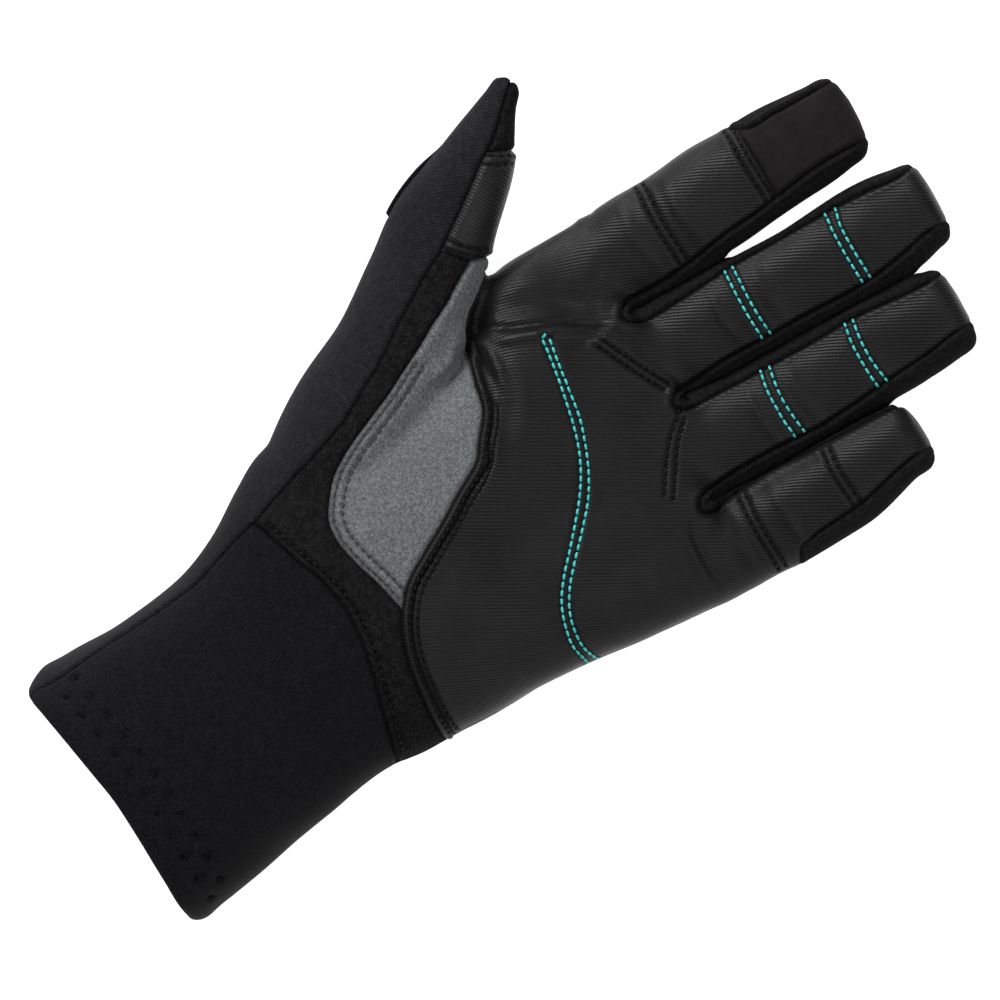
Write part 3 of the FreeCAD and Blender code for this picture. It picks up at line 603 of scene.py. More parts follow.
def refine(v, t, chosen):
    """Halve every edge of the chosen triangles."""
    keys = edge_keys(t[chosen], len(v))
    return split_edges(v, t, keys, np.full(len(keys), 0.5))


def cut(v, t, field):
    """Split the skin's edges where the field changes sign."""
    keys = edge_keys(t, len(v))
    a, b = keys // len(v), keys % len(v)
    value = field(v)
    crossing = value[a] * value[b] < 0
    keys, a, b = keys[crossing], a[crossing], b[crossing]
    place = value[a] / (value[a] - value[b])
    inside = (place > 0.06) & (place < 0.94)
    if not inside.any():
        return v, t
    return split_edges(v, t, keys[inside], place[inside])


def seam_nearness(v, t, reach):
    """Triangles within reach of a change of fabric."""
    label = fabrics(v)
    mixed = (label[t] != label[t[:, :1]]).any(1)
    tree = kdtree.KDTree(int(mixed.sum()))
    centres = v[t].mean(1)
    for i, c in enumerate(centres[mixed]):
        tree.insert(c, i)
    tree.balance()
    return np.array([tree.find(c)[2] < reach for c in centres])

# ---------------- rows of stitches, in plan


def beside(points, offset):
    """The same plan curve moved sideways to its left by offset."""
    p = curve(points, 0.5)
    d = np.gradient(p, axis=0)
    d /= np.linalg.norm(d, axis=1)[:, None]
    return p + offset * np.column_stack([-d[:, 1], d[:, 0]])


def trimmed(points, start, end):
    """Part of a curve, from start to end millimetres along it."""
    s = np.concatenate([[0], np.cumsum(np.linalg.norm(np.diff(points, axis=0), axis=1))])
    return points[(s >= start) & (s <= (end if end > 0 else s[-1] + end))]


TEAL, BLACK, GREY = "teal", "black", "grey"
TEAL_A = [(-38.2, 18.7), (-30, 17.4), (-23.7, 16.5), (-16.2, 15.3), (-9.9, 13.3), (-3, 10.4), (3.3, 6.7),
          (9.6, 1.3), (15.9, -4.7), (20.5, -8.8), (27.4, -12.8), (32.6, -14.1), (37.2, -14.1),
          (41.2, -12.4)]
TEAL_B = [(-39.9, 18.6), (-39.6, 17.2), (-38, 17), (-30, 15.9), (-23.7, 14.7), (-16.8, 13.3),
          (-10.5, 11.5), (-4.7, 9), (2.1, 4.7), (7.3, 0.4), (12.5, -4.2), (18.2, -9.4), (23.4, -13.1),
          (30.3, -15.7), (34.9, -16.4), (40.9, -15.1)]
TEAL_LINES = [
    TEAL_A, TEAL_B,
    [(-30.4, 101.2), (-26, 100), (-20, 99.7), (-9.9, 100)],
    [(-30.5, 98.2), (-26, 97.6), (-20, 97.3), (-9.9, 97.6)],
    [(-30.6, 70.2), (-24, 69.7), (-17, 69.6), (-10.2, 70)],
    [(-30.6, 67.8), (-24, 67.3), (-17, 67.2), (-10.2, 67.6)],
    [(-2.7, 90.6), (1.5, 89.7), (6, 89.3), (11, 89.5), (16, 90.3)],
    [(-2.9, 88.2), (1.5, 87.3), (6.7, 86.9), (11, 87), (16.1, 87.5)],
    [(-3, 65.5), (1.5, 64.5), (6, 64.1), (12, 64.3), (16.7, 64.9)],
    [(-3.2, 62.9), (1.5, 61.9), (8.5, 61.5), (13, 61.7), (16.6, 62.2)],
]
BLACK_LINES = [
    [(-63, 88.3), (-52, 87.9), (-41, 88.4)], [(-63, 86.1), (-52, 85.7), (-41, 86.2)],
    [(-61.8, 60.8), (-50, 60.1), (-38.4, 60.6)], [(-61.8, 58.5), (-50, 57.8), (-38.3, 58.3)],
    [(23.2, 68.3), (31, 67.6), (39.6, 68.2)], [(23.2, 66.2), (31, 65.5), (39.8, 66.1)],
    [(22.8, 43.2), (34, 42.4), (45.4, 43)], [(22.8, 41.1), (34, 40.3), (45.4, 40.9)],
    [(-31.6, 30.6), (-22, 35.2), (-12.4, 40.4)], [(-31, 28.6), (-21.4, 33.2), (-11.6, 38.4)],
    [(-5, 39.4), (-0.1, 33.7), (5.6, 29.1), (12.5, 24.5)],
    [(-2.4, 39.2), (2.1, 34.7), (9, 29.9), (14.8, 25.9)],
]
GRIP_LINES = [
    [(-66.3, 14.5), (-67.6, 12.2), (-72.6, 6.9)], [(-67.2, 15.4), (-69, 13), (-73.8, 8.7)],
    [(-85.2, 34.2), (-86.4, 31.6), (-88, 28.6)], [(-83.6, 32.6), (-84.8, 29.8), (-86.6, 26.6)],
]
ROWS = [(TEAL, curve(line)) for line in TEAL_LINES] + [(BLACK, curve(line)) for line in BLACK_LINES]
ROWS += [(BLACK, trimmed(beside(PALM_EDGE, 1.9), 32, -3)), (BLACK, trimmed(beside(PALM_EDGE, 4.1), 34, -3))]
ROWS += [(GREY, trimmed(beside(GUSSET_EDGE, aside), 30, -2)) for aside in (1.3, 3.7)]
ROWS += [(BLACK, curve(line)) for line in GRIP_LINES]
ROWS.append((BLACK, trimmed(beside(CUFF_SEAM, 2.2), 16, -8)))
FOLDS = [                                   # plan points, height, half width
    # round the root of the index finger, and small creases at its end
    ([(-33.4, 38.3), (-35.3, 32.6), (-41, 24), (-44.9, 14.4), (-49.6, 4.9), (-50.8, 1.5)], -1.6, 0.9),
    ([(-33.2, 35), (-35.6, 27.5), (-39.6, 20), (-43.4, 10), (-46, 3)], 1.3, 1.4),
    ([(-35, 44), (-38.8, 34), (-45, 24.6), (-49, 14.6), (-53, 5)], -2.9, 4.8),
    ([(-33, 36.5), (-31, 31), (-31.6, 27)], 0.45, 1.3),
    ([(-31, 37), (-28.6, 33.6), (-28, 30.4)], 0.5, 1.2),
    ([(-34.6, 33), (-33, 28), (-35, 22)], -0.6, 1.2),
    ([(-29.4, 39), (-26.4, 36.4), (-22, 35.6)], 0.4, 1.4),
    ([(-38, 39), (-40.4, 31), (-46, 20), (-50.6, 9)], 0.8, 2.4),
    # below the little finger
    ([(20.5, 29.1), (25.1, 26.2), (30.3, 25.4), (38, 25.4), (45, 26)], -0.7, 0.8),
    ([(21, 26.6), (26, 24), (33, 23.2), (39, 23.6)], 0.45, 1.3),
    # the palm's edge at the web of the thumb
    ([(-49, 1.6), (-44, 3.4), (-38, 3.2), (-30, 1)], 1.0, 1.5),
    ([(-47, -1.4), (-41, 0.4), (-33, -1)], -0.6, 1.0),
    ([(-50, -3), (-46.4, -7), (-44.4, -13)], 0.9, 1.1),
    ([(-47.4, -3.6), (-43.6, -8), (-42, -15)], -0.8, 1.1),
    ([(-44, -5), (-40.6, -9.4), (-38, -17)], 0.7, 1.3),
    ([(-56, 2), (-51, -6), (-47, -16)], -0.6, 2.2),
    # soft waves across the palm
    ([(-36, 7), (-26, 4), (-15, -4)], 0.6, 2.6), ([(-27, -5), (-17, -9), (-8, -20)], 0.7, 2.2),
    # puffs between the rows of the fingers
    ([(24, 50), (33, 49.4), (43, 50)], 0.45, 1.3), ([(24, 36), (33, 35), (44, 36)], 0.5, 1.6),
    ([(-60, 53), (-50, 51.6), (-39, 53.5)], 0.4, 1.8), ([(-60, 66), (-50, 65), (-40, 66.5)], 0.4, 1.6),
    ([(-29, 62), (-20, 61), (-12, 62.4)], 0.5, 1.3),
    ([(-29, 74.6), (-20, 74), (-11.6, 75.2)], 0.45, 1.4),
    ([(-2, 57.6), (7, 56.4), (15.4, 57.6)], 0.5, 1.3),
    ([(-2, 69.6), (7, 68.6), (15.8, 69.8)], 0.4, 1.3),
    # above the heel's seam, and beside the index finger's root
    ([(-14, -64), (0, -62.4), (14, -64)], -0.3, 2.2), ([(-50, 43), (-44, 36), (-38, 33)], -0.5, 1.6),
]
CONTACT = ((39.5, 67), (39.5, 108), (31.5, 85))    # where neighbouring fingers touch, along Y
HEM_PITCH, HEM_START, HEM_COUNT = 6.5, -23.5, 13    # the zigzag's step, first x and points a row
HEM_ROWS = (11.6, 6.6)                      # distances from the mouth of the cuff


def row_nearness(v, t, reach):
    """Triangles of the palm side within reach, in plan, of a row of stitches."""
    points = np.vstack([line for _, line in ROWS])
    tree = kdtree.KDTree(len(points))
    for i, (x, y) in enumerate(points):
        tree.insert((x, y, 0), i)
    tree.balance()
    return np.array([z > 14 and tree.find((x, y, 0))[2] < reach for x, y, z in v[t].mean(1)])

# ---------------- the skin, cut into panels

ROUGH_FLOOR, FLOOR = 0.25, 0.1            # lowest height before and after displacement
skin, faces = remeshed([hand_tube(), thumb_tube()] + [finger_tube(f) for f in FINGERS])
skin = soften_roots(close_fingers(skin), faces)
skin[:, 2] = np.maximum(skin[:, 2], ROUGH_FLOOR)
chosen = seam_nearness(skin, faces, 2.4) | row_nearness(skin, faces, 1.4)
skin, faces = refine(skin, faces, chosen)
for field in CUTS:
    skin, faces = cut(skin, faces, field)
centres = skin[faces].mean(1)
keep = centres[:, 1] > mouth_y(centres[:, 0])
faces, centres = faces[keep], centres[keep]
fabric = fabrics(centres)


def zones(p, label):
    """The stretch of the glove that each point belongs to."""
    out = np.full(len(p), "hand", dtype="<U12")
    thumb = (thumb_side(p) > 0) | ((p[:, 1] < 14) & (p[:, 0] < -55))
    which = finger_index(p)
    for i, f in enumerate(FINGERS):
        rows = (which == i) & ~thumb & (p[:, 1] > ZONE_START[f])
        first, second = ZONE_SPLIT[f]
        out[rows] = f + "_a"
        out[rows & (p[:, 1] > first)] = f + "_b"
        out[rows & (p[:, 1] > second)] = f + "_c"
    far = web_distance(p)
    out[thumb & (far > 0)] = "thumb_a"
    out[thumb & (far > WEB_LENGTH)] = "thumb_b"
    wrist = (p[:, 1] < WRIST_SPLIT) & np.isin(label, (FLEECE, BACK, CUFF_FRONT, CUFF_BACK))
    out[wrist] = "wrist"
    return out


zone = zones(centres, fabric)

# ---------------- displacement


def surface_tree(v, t):
    return bvhtree.BVHTree.FromPolygons([tuple(p) for p in v], [tuple(int(i) for i in f) for f in t])


def drop(tree, points):
    """Where vertical lines through plan points first meet the skin from above."""
    out = []
    for x, y in points:
        hit, normal, _, _ = tree.ray_cast(Vector((x, y, 200)), Vector((0, 0, -1)))
        if hit is not None:
            out.append((*hit, *normal))
    return np.array(out).reshape(-1, 6)


def nearest(points, tree_points, reach):
    """Distance from each point to the nearest tree point, and which it is, up to reach."""
    tree = kdtree.KDTree(len(tree_points))
    for i, p in enumerate(tree_points):
        tree.insert(p, i)
    tree.balance()
    gap, who = np.full(len(points), reach), np.zeros(len(points), int)
    for i, p in enumerate(points):
        _, j, d = tree.find(p)
        if d < reach:
            gap[i], who[i] = d, j
    return gap, who


def row_stitches(points, pitch=2.2, length=1.8):
    """Start, end and outward direction of each stitch along a row on the skin."""
    s = np.concatenate([[0], np.cumsum(np.linalg.norm(np.diff(points[:, :3], axis=0), axis=1))])
    count = max(1, int((s[-1] - length) / pitch) + 1)
    step = (s[-1] - length) / max(1, count - 1) if count > 1 else 0
    found = []
    for i in range(count):
        both = [np.array([np.interp(i * step + e, s, points[:, k]) for k in range(6)]) for e in (0, length)]
        found.append((both[0][:3], both[1][:3], both[0][3:] + both[1][3:]))
    return found


normals = vertex_normals(skin, faces)
used = np.unique(faces)
at_fabric = np.zeros(len(skin), int)
at_fabric[faces.ravel()] = np.repeat(fabric, 3)


def seam_samples():
    """Points along every edge where two fabrics meet."""
    pairs = np.vstack([faces[:, [0, 1]], faces[:, [1, 2]], faces[:, [2, 0]]])
    key = pairs.min(1) * len(skin) + pairs.max(1)
    label = np.tile(fabric, 3)
    order = np.argsort(key, kind="stable")
    key, label = key[order], label[order]
    same = key[1:] == key[:-1]
    seam = same & (label[1:] != label[:-1])
    key, pair = key[1:][seam], np.sort(np.column_stack([label[1:][seam], label[:-1][seam]]), axis=1)
    a, b = skin[key // len(skin)], skin[key % len(skin)]
    shares = (0, 0.25, 0.5, 0.75, 1)
    return np.vstack([a * (1 - s) + b * s for s in shares]), np.vstack([pair] * len(shares))


SEAM_REACH = 4.0
samples, sample_pair = seam_samples()
seam_gap, who = nearest(skin[used], samples, SEAM_REACH)
pair = sample_pair[who]
mine = at_fabric[used]
used_x, used_y = skin[used][:, 0], skin[used][:, 1]
cuff_pair = (pair >= CUFF_FRONT).any(1)
binding_pair = (pair[:, 0] == PALM) & (pair[:, 1] == BINDING)
same_cloth = (pair[:, 0] == BACK) & (pair[:, 1] == CUFF_BACK)
wipe_pair = (pair == WIPE).any(1)
rolled_pair = (pair == FLEECE).any(1) & np.isin(pair, (PALM, TOUCH)).any(1) & (used_y > 26)


def mark(gap, reach, size, half, centre=0.0):
    """A bump of a size and half width, centre millimetres from something, cut off at reach."""
    return np.where(gap < reach, size * bell(gap - centre, half), 0)


def seam_fade():
    """How much of a seam's relief is left: less where it runs out at a tip, an edge or the mouth."""
    tip_y = np.array([FINGER_END_Y[f] for f in FINGERS])[finger_index(skin[used])]
    fade = 1 - 0.75 * ramp(used_y, tip_y - 7, tip_y - 2) * (thumb_side(skin[used]) < 0)
    fade *= 1 - 0.7 * (used_x < -58) * ramp(used_y, 82, 85) * (1 - ramp(used_y, 89, 94))
    fade *= 1 - 0.85 * (used_x > 38) * ramp(used_y, 38, 42) * (1 - ramp(used_y, 47, 56))
    return fade * np.where(cuff_pair, ramp(used_y - mouth_y(used_x), 0, 8), 1)


def seam_relief():
    """Seams are sunk in, and the cloth rolls up beside them, most on the sides of the fingers."""
    depth = np.where(binding_pair, 0.45, np.where(cuff_pair, 0.8, 0.75))
    depth[same_cloth] = 0
    depth[wipe_pair] = 0.2
    width = np.where(cuff_pair, 0.8, 0.55)
    strip = rolled_pair & (mine == FLEECE)
    roll = np.where(np.isin(mine, (PALM, TOUCH)), 0.3, np.where(mine == BINDING, 0.25, 0.15))
    roll = np.where(strip, 0.75, roll)
    roll[same_cloth | wipe_pair] = 0
    relief = -depth * np.exp(-seam_gap / width) + roll * bell(seam_gap - np.where(strip, 1.15, 1.5), 0.8)
    return np.where(seam_gap < SEAM_REACH, seam_fade() * relief, 0)


PATCHES = {GRIP: (0.7, 1.6), BINDING: (0.7, 0.7), GUSSET: (0.1, 0.7), WIPE: (1.0, 0.7)}  # height, slope


def patch_relief():
    """Patches stand above the cloth round them. The wipe patch thins out towards the thumb's tip."""
    relief = np.zeros(len(used))
    for kind, (height, slope) in PATCHES.items():
        step = np.where(mine == kind, height * ramp(seam_gap, 0, slope), 0)
        if kind == WIPE:
            step *= 1 - ramp(round_thumb(skin[used])[0], 22, 32)
        relief += step
    return relief


FOLD_MARGIN, PALM_SIDE_Z = 8, 14           # reach round a fold, lowest height on the palm side


def fold_relief():
    """The folds of the palm side."""
    relief = np.zeros(len(skin))
    for points, height, half in FOLDS:
        line = curve(points)
        inside = (skin[:, :2] > line.min(0) - FOLD_MARGIN) & (skin[:, :2] < line.max(0) + FOLD_MARGIN)
        rows = np.flatnonzero((skin[:, 2] > PALM_SIDE_Z) & inside.all(1))
        gap = np.linalg.norm(skin[rows][:, None, :2] - line[None, ::2], axis=2)
        along = gap.argmin(1) / max(1, gap.shape[1] - 1)
        fade = np.sin(np.pi * np.clip(along, 0.06, 0.94)) ** 0.6
        relief[rows] += height * fade * bell(gap.min(1), half)
    return relief


def waves(count=10, height=0.1):
    """Slow, shallow waves that keep any stretch of cloth from being quite even."""
    dice = np.random.default_rng(11)
    relief = np.zeros(len(skin))
    for _ in range(count):
        way = dice.normal(size=3)
        way *= 2 * math.pi / dice.uniform(16, 48) / np.linalg.norm(way)
        relief += height * np.sin(skin @ way + dice.uniform(0, 6.28))
    return relief


base_tree = surface_tree(skin, faces)
row_points = [drop(base_tree, points) for _, points in ROWS]
row_gap, _ = nearest(skin[used], np.vstack(row_points)[:, :3], 3.0)
holes = np.array([end for points in row_points if len(points) > 3
                  for stitch in row_stitches(points) for end in stitch[:2]])
hole_gap, _ = nearest(skin[used], holes, 2.0)
dots = []
for k, back in enumerate(HEM_ROWS):
    for i in range(HEM_COUNT):
        x = HEM_START + HEM_PITCH * (i + 0.5 * k)
        dots.append((x, mouth_y(np.array([x]))[0] + back + 1.2))
dot_gap, _ = nearest(skin[used], drop(base_tree, dots)[:, :3], 5.0)
mouth_gap = skin[:, 1] - mouth_y(skin[:, 0])

move = fold_relief() + waves()
move[used] += seam_relief() + patch_relief()
move[used] += mark(row_gap, 3, 0.1, 0.6, 1.4) - mark(row_gap, 3, 0.36, 0.6) - mark(dot_gap, 5, 1.0, 1.1)
move += mark(mouth_gap, 16, 0.5, 3, 3.5)                       # the hem's roll and its rounded edge
move -= np.where(mouth_gap < 16, 0.9 * np.exp(-np.maximum(mouth_gap, 0) / 0.9), 0)
move -= 3.0 * bell(skin[:, 0] - 2, 24) * bell(skin[:, 1] + 8, 26) * (skin[:, 2] > 20)    # the palm's hollow
place = skin + normals * move[:, None]

# Painted shade: the colour is darkened along seams, rows of stitches, stitch holes and the hem's dots, where
# shadow falls in their dents, and the cloth there is made duller.
shade = np.ones(len(skin))
shade[used] -= mark(row_gap, 3, 0.15, 0.6) + mark(hole_gap, 2, 0.65, 0.5) + mark(dot_gap, 5, 0.6, 0.8)
shade[used] -= mark(seam_gap, 3, np.where(same_cloth, 0, 0.6), 0.45)
shade = np.clip(shade, 0.1, 1)


CONTACT_OVERLAP = 0.03


def press_fingers(v):
    """Swell the facing sides of neighbouring fingers until they touch, as far up as they do."""
    side_of, thumb, y = finger_index(skin), thumb_side(skin) > 0, skin[:, 1]
    for k, (start, end) in enumerate(CONTACT):
        gap_left, gap_right = edge_x[FINGER_NAMES[k]][1](y), edge_x[FINGER_NAMES[k + 1]][0](y)
        middle = (gap_left + gap_right) / 2
        share = ramp(y, start, start + 3) * (1 - ramp(y, end - 2, end + 7))
        for finger, sign in ((k, 1), (k + 1, -1)):
            left, right = [f(y) for f in edge_x[FINGER_NAMES[finger]]]
            centre, half = [f(y) for f in HEIGHT[FINGER_NAMES[finger]]]
            out = sign * (skin[:, 0] - (left + right) / 2) / ((right - left) / 2)
            level = (skin[:, 2] - centre) / half
            low = ramp(level, -0.95, -0.5) * (1 - ramp(level, 0.25, 0.7))
            push = share * low * ramp(out, 0.35, 0.85) * ((gap_right - gap_left) / 2 + 1.5)
            x = v[:, 0] + sign * push
            limit = middle + sign * CONTACT_OVERLAP
            x = np.minimum(x, limit) if sign > 0 else np.maximum(x, limit)
            rows = (side_of == finger) & ~thumb & (out > 0.3)
            v[rows, 0] += (ramp(share, 0, 0.5) * (x - v[:, 0]))[rows]
    return v


place = press_fingers(place)
place[:, 2] = np.maximum(place[:, 2], FLOOR)
final_tree = surface_tree(place, faces)
fabric_normals = {i: vertex_normals(place, faces, fabric == i) for i in FABRICS}


def cloth_coordinates(v):
    """Coordinates that follow the fabric down its sides, so that a weave is not stretched there."""
    out = v.copy()
    crown = np.interp(v[:, 1], (-150, -60, 0, 38, 120), (50, 41, 34, 27, 36))
    side = np.clip(v[:, 0] / 45, -1, 1) ** 3
    over_hand = 0.8 * side * np.clip(crown - v[:, 2], 0, 60)
    over_finger = np.zeros(len(v))
    for i, f in enumerate(FINGERS):
        rows = finger_index(v) == i
        left, right = [edge(v[rows, 1]) for edge in edge_x[f]]
        top = HEIGHT[f][0](v[rows, 1]) + HEIGHT[f][1](v[rows, 1])
        side = np.clip((2 * v[rows, 0] - left - right) / (right - left), -1, 1)
        over_finger[rows] = 0.8 * side * np.clip(top - v[rows, 2], 0, 40)
    share = ramp(v[:, 1], 26, 46) * (thumb_side(v) < 0)
    out[:, 0] += over_hand * (1 - share) + over_finger * share
    return out


cloth = cloth_coordinates(skin)

# ---------------- materials


def new_material(name):
    material = bpy.data.materials.new(name)
    material.use_nodes = True
    return material, material.node_tree, material.node_tree.nodes["Principled BSDF"].inputs


def add(tree, kind, sockets, **settings):
    """A shader node with its settings, and a number or a link for each named socket."""
    node = tree.nodes.new("ShaderNode" + kind)
    for key, value in settings.items():
        setattr(node, key, value)
    for key, value in sockets.items():
        if isinstance(value, bpy.types.NodeSocket):
            tree.links.new(value, node.inputs[key])
        else:
            node.inputs[key].default_value = value
    return node


def multiplied(tree, a, b):
    mix = add(tree, "Mix", {"Factor": 1, "A": a, "B": b}, data_type="RGBA", blend_type="MULTIPLY")
    return mix.outputs["Result"]


BAND_SCALE = 0.31416                      # a wave texture's scale for bands one unit apart


def woven(tree, where, tint, height, kind, pitch, angle, lift):
    """Bands of ribs or twill, pitch and lift in millimetres, in the tint and the height. The tint is painted
    light and shade: lighter on the raised bands, darker in the grooves between them.
    """
    ribs = kind == "ribs"
    turn = add(tree, "Mapping", {"Rotation": (0, 0, math.radians(angle)), "Vector": where})
    bands = add(tree, "TexWave", {
        "Scale": BAND_SCALE / pitch, "Distortion": 0.9 if ribs else 1.6, "Detail": 1.5,
        "Detail Scale": 0.6 if ribs else 2.5, "Vector": turn.outputs["Vector"],
    }, wave_type="BANDS", bands_direction="X").outputs["Fac"]
    raised = add(tree, "Math", {0: bands, 1: lift, 2: height}, operation="MULTIPLY_ADD")
    # Painted light and shade: the same bands that raise the surface make the tint lighter on top and darker
    # in the grooves.
    low, high = (0.62, 1.2) if ribs else (0.82, 1.1)
    tone = add(tree, "MapRange", {"To Min": low, "To Max": high, "Value": bands})
    return multiplied(tree, tint, tone.outputs["Result"]), raised.outputs["Value"]


def specked(tree, where, tint, size, share, colour):
    """Flecks of another colour."""
    cells = add(tree, "TexVoronoi", {"Scale": 1 / size, "Vector": where})
    pick = add(tree, "MapRange", {"From Min": share, "From Max": share * 0.3,
                                  "Value": cells.outputs["Distance"]})
    mix = add(tree, "Mix", {"A": tint, "B": (*colour, 1), "Factor": pick.outputs["Result"]},
              data_type="RGBA")
    return mix.outputs["Result"]


def fabric_material(name, colour, light, rough, weave, grain, blotch, gloss=0.06, speck=None,
                    mix_range=(0.16, 0.4)):
    """A fabric: colour varies between two tones, and a weave and a grain lift its surface.

    weave is (kind, pitch in mm, angle, height in mm), grain (size in mm, height in mm), blotch the
    size in mm of the slow colour changes, and speck (size in mm, share, colour) the odd fibres.
    """
    material, tree, shader = new_material(name)
    shader["Specular IOR Level"].default_value = gloss
    where = add(tree, "Attribute", {}, attribute_name="cloth").outputs["Vector"]
    slow = add(tree, "TexNoise", {"Scale": 1 / blotch, "Detail": 5, "Vector": where}).outputs["Fac"]
    fine = add(tree, "TexNoise", {"Scale": 1 / grain[0], "Detail": 3, "Vector": where}).outputs["Fac"]
    share = add(tree, "Math", {0: slow, 1: fine}, operation="MULTIPLY").outputs["Value"]
    spread = add(tree, "MapRange", {"From Min": mix_range[0], "From Max": mix_range[1], "Value": share})
    tint = add(tree, "Mix", {"A": (*colour, 1), "B": (*light, 1), "Factor": spread.outputs["Result"]},
               data_type="RGBA").outputs["Result"]
    height = add(tree, "Math", {0: fine, 1: grain[1]}, operation="MULTIPLY").outputs["Value"]
    if weave:
        tint, height = woven(tree, where, tint, height, *weave)
    if speck:
        tint = specked(tree, where, tint, *speck)
    # The shade attribute darkens the base colour, painted shade in seams, stitch rows and holes, and makes
    # the cloth rougher there.
    painted_shade = add(tree, "Attribute", {}, attribute_name="shade").outputs["Fac"]
    dull = add(tree, "MapRange", {"To Min": 1, "To Max": rough, "Value": painted_shade})
    bump = add(tree, "Bump", {"Distance": MM, "Strength": 1, "Height": height})
    tree.links.new(multiplied(tree, tint, painted_shade), shader["Base Color"])
    tree.links.new(dull.outputs["Result"], shader["Roughness"])
    tree.links.new(bump.outputs["Normal"], shader["Normal"])
    return material


MATERIAL = {
    PALM: fabric_material("ribbed_palm", (0.0070, 0.0070, 0.0073), (0.0120, 0.0120, 0.0125), 0.40,
                          ("ribs", 0.92, 30, 0.075), (0.5, 0.05), 14, gloss=0.16),
    TOUCH: fabric_material("touch_suede", (0.0095, 0.0078, 0.0082), (0.0150, 0.0128, 0.0133), 0.75,
                           None, (0.45, 0.1), 6, gloss=0.08),
    FLEECE: fabric_material("fleece", (0.0050, 0.0047, 0.0050), (0.0140, 0.0133, 0.0140), 0.9,
                            None, (0.6, 0.5), 2, speck=(1.0, 0.32, (0.024, 0.0225, 0.023))),
    BACK: fabric_material("stretch_twill", (0.0100, 0.0100, 0.0115), (0.0210, 0.0210, 0.0240), 0.7,
                          ("twill", 0.85, 22, 0.1), (0.4, 0.4), 1.6),
    GUSSET: fabric_material("grey_suede", (0.090, 0.095, 0.099), (0.205, 0.216, 0.224), 0.85,
                            None, (0.5, 0.55), 0.9, gloss=0.08, mix_range=(0.14, 0.38)),
    GRIP: fabric_material("grip_patch", (0.0115, 0.0115, 0.0120), (0.0190, 0.0190, 0.0196), 0.46,
                          ("ribs", 0.92, 62, 0.06), (0.5, 0.05), 10, gloss=0.24),
    WIPE: fabric_material("wipe_fleece", (0.0035, 0.0035, 0.0038), (0.0080, 0.0080, 0.0084), 0.9,
                          None, (0.7, 0.5), 4),
    CUFF_FRONT: fabric_material("neoprene", (0.0036, 0.0033, 0.0045), (0.0142, 0.0135, 0.0160), 0.6,
                                None, (0.38, 0.7), 0.8),
    CUFF_BACK: fabric_material("twill_faced_neoprene", (0.0085, 0.0083, 0.0095),
                               (0.0175, 0.0172, 0.0195), 0.7, ("twill", 0.85, 22, 0.1), (0.4, 0.4), 1.6),
}
fourchette = fabric_material("fourchette", (0.0056, 0.0054, 0.0057), (0.0150, 0.0145, 0.0151), 0.9,
                             None, (0.55, 0.4), 1.4,
                             speck=(1.0, 0.28, (0.0215, 0.0207, 0.0215)))
MATERIAL[BINDING] = MATERIAL[PALM]
THREAD = {
    TEAL: fabric_material("teal_thread", (0.03, 0.46, 0.46), (0.10, 0.68, 0.66), 0.35,
                          ("twill", 0.5, 45, 0.05), (0.3, 0.03), 3, gloss=0.6),
    BLACK: fabric_material("black_thread", (0.0025, 0.0025, 0.003), (0.007, 0.007, 0.0075), 0.45,
                           ("twill", 0.5, 45, 0.05), (0.3, 0.03), 3, gloss=0.12),
    GREY: fabric_material("grey_thread", (0.045, 0.048, 0.050), (0.080, 0.085, 0.090), 0.5,
                          ("twill", 0.5, 45, 0.05), (0.3, 0.03), 3, gloss=0.2),
}
lining_material = fabric_material("lining", (0.008, 0.008, 0.009), (0.016, 0.016, 0.017), 0.9,
                                  ("twill", 0.8, 0, 0.05), (0.5, 0.1), 6, gloss=0.2)

# ---------------- pieces


FABRIC_THICKNESS, CUFF_THICKNESS, FACING_THICKNESS, FACING_DEPTH, FACING_INSET = 0.8, 1.7, 0.9, 15, 1.8


def place_piece(obj, where):
    """Parent a piece of the hand to the hand's body, and bake any other piece's transform into its mesh
    where it lies.
    """
    if where == "hand":
        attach(obj, "hand")
    elif where == "wrist":
        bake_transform(obj)
    elif where == "thumb_a":
        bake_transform(obj)
    elif where == "thumb_b":
        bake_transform(obj)
    else:
        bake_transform(obj)


def link(name, mesh, material):
    obj = bpy.data.objects.new(name, mesh)
    bpy.context.scene.collection.objects.link(obj)
    mesh.materials.append(material)
    return obj


def store_cloth(mesh, values, shades):
    attribute = mesh.attributes.new("cloth", "FLOAT_VECTOR", "POINT")
    attribute.data.foreach_set("vector", values.astype(np.float32).ravel())
    attribute = mesh.attributes.new("shade", "FLOAT", "POINT")
    attribute.data.foreach_set("value", shades.astype(np.float32))


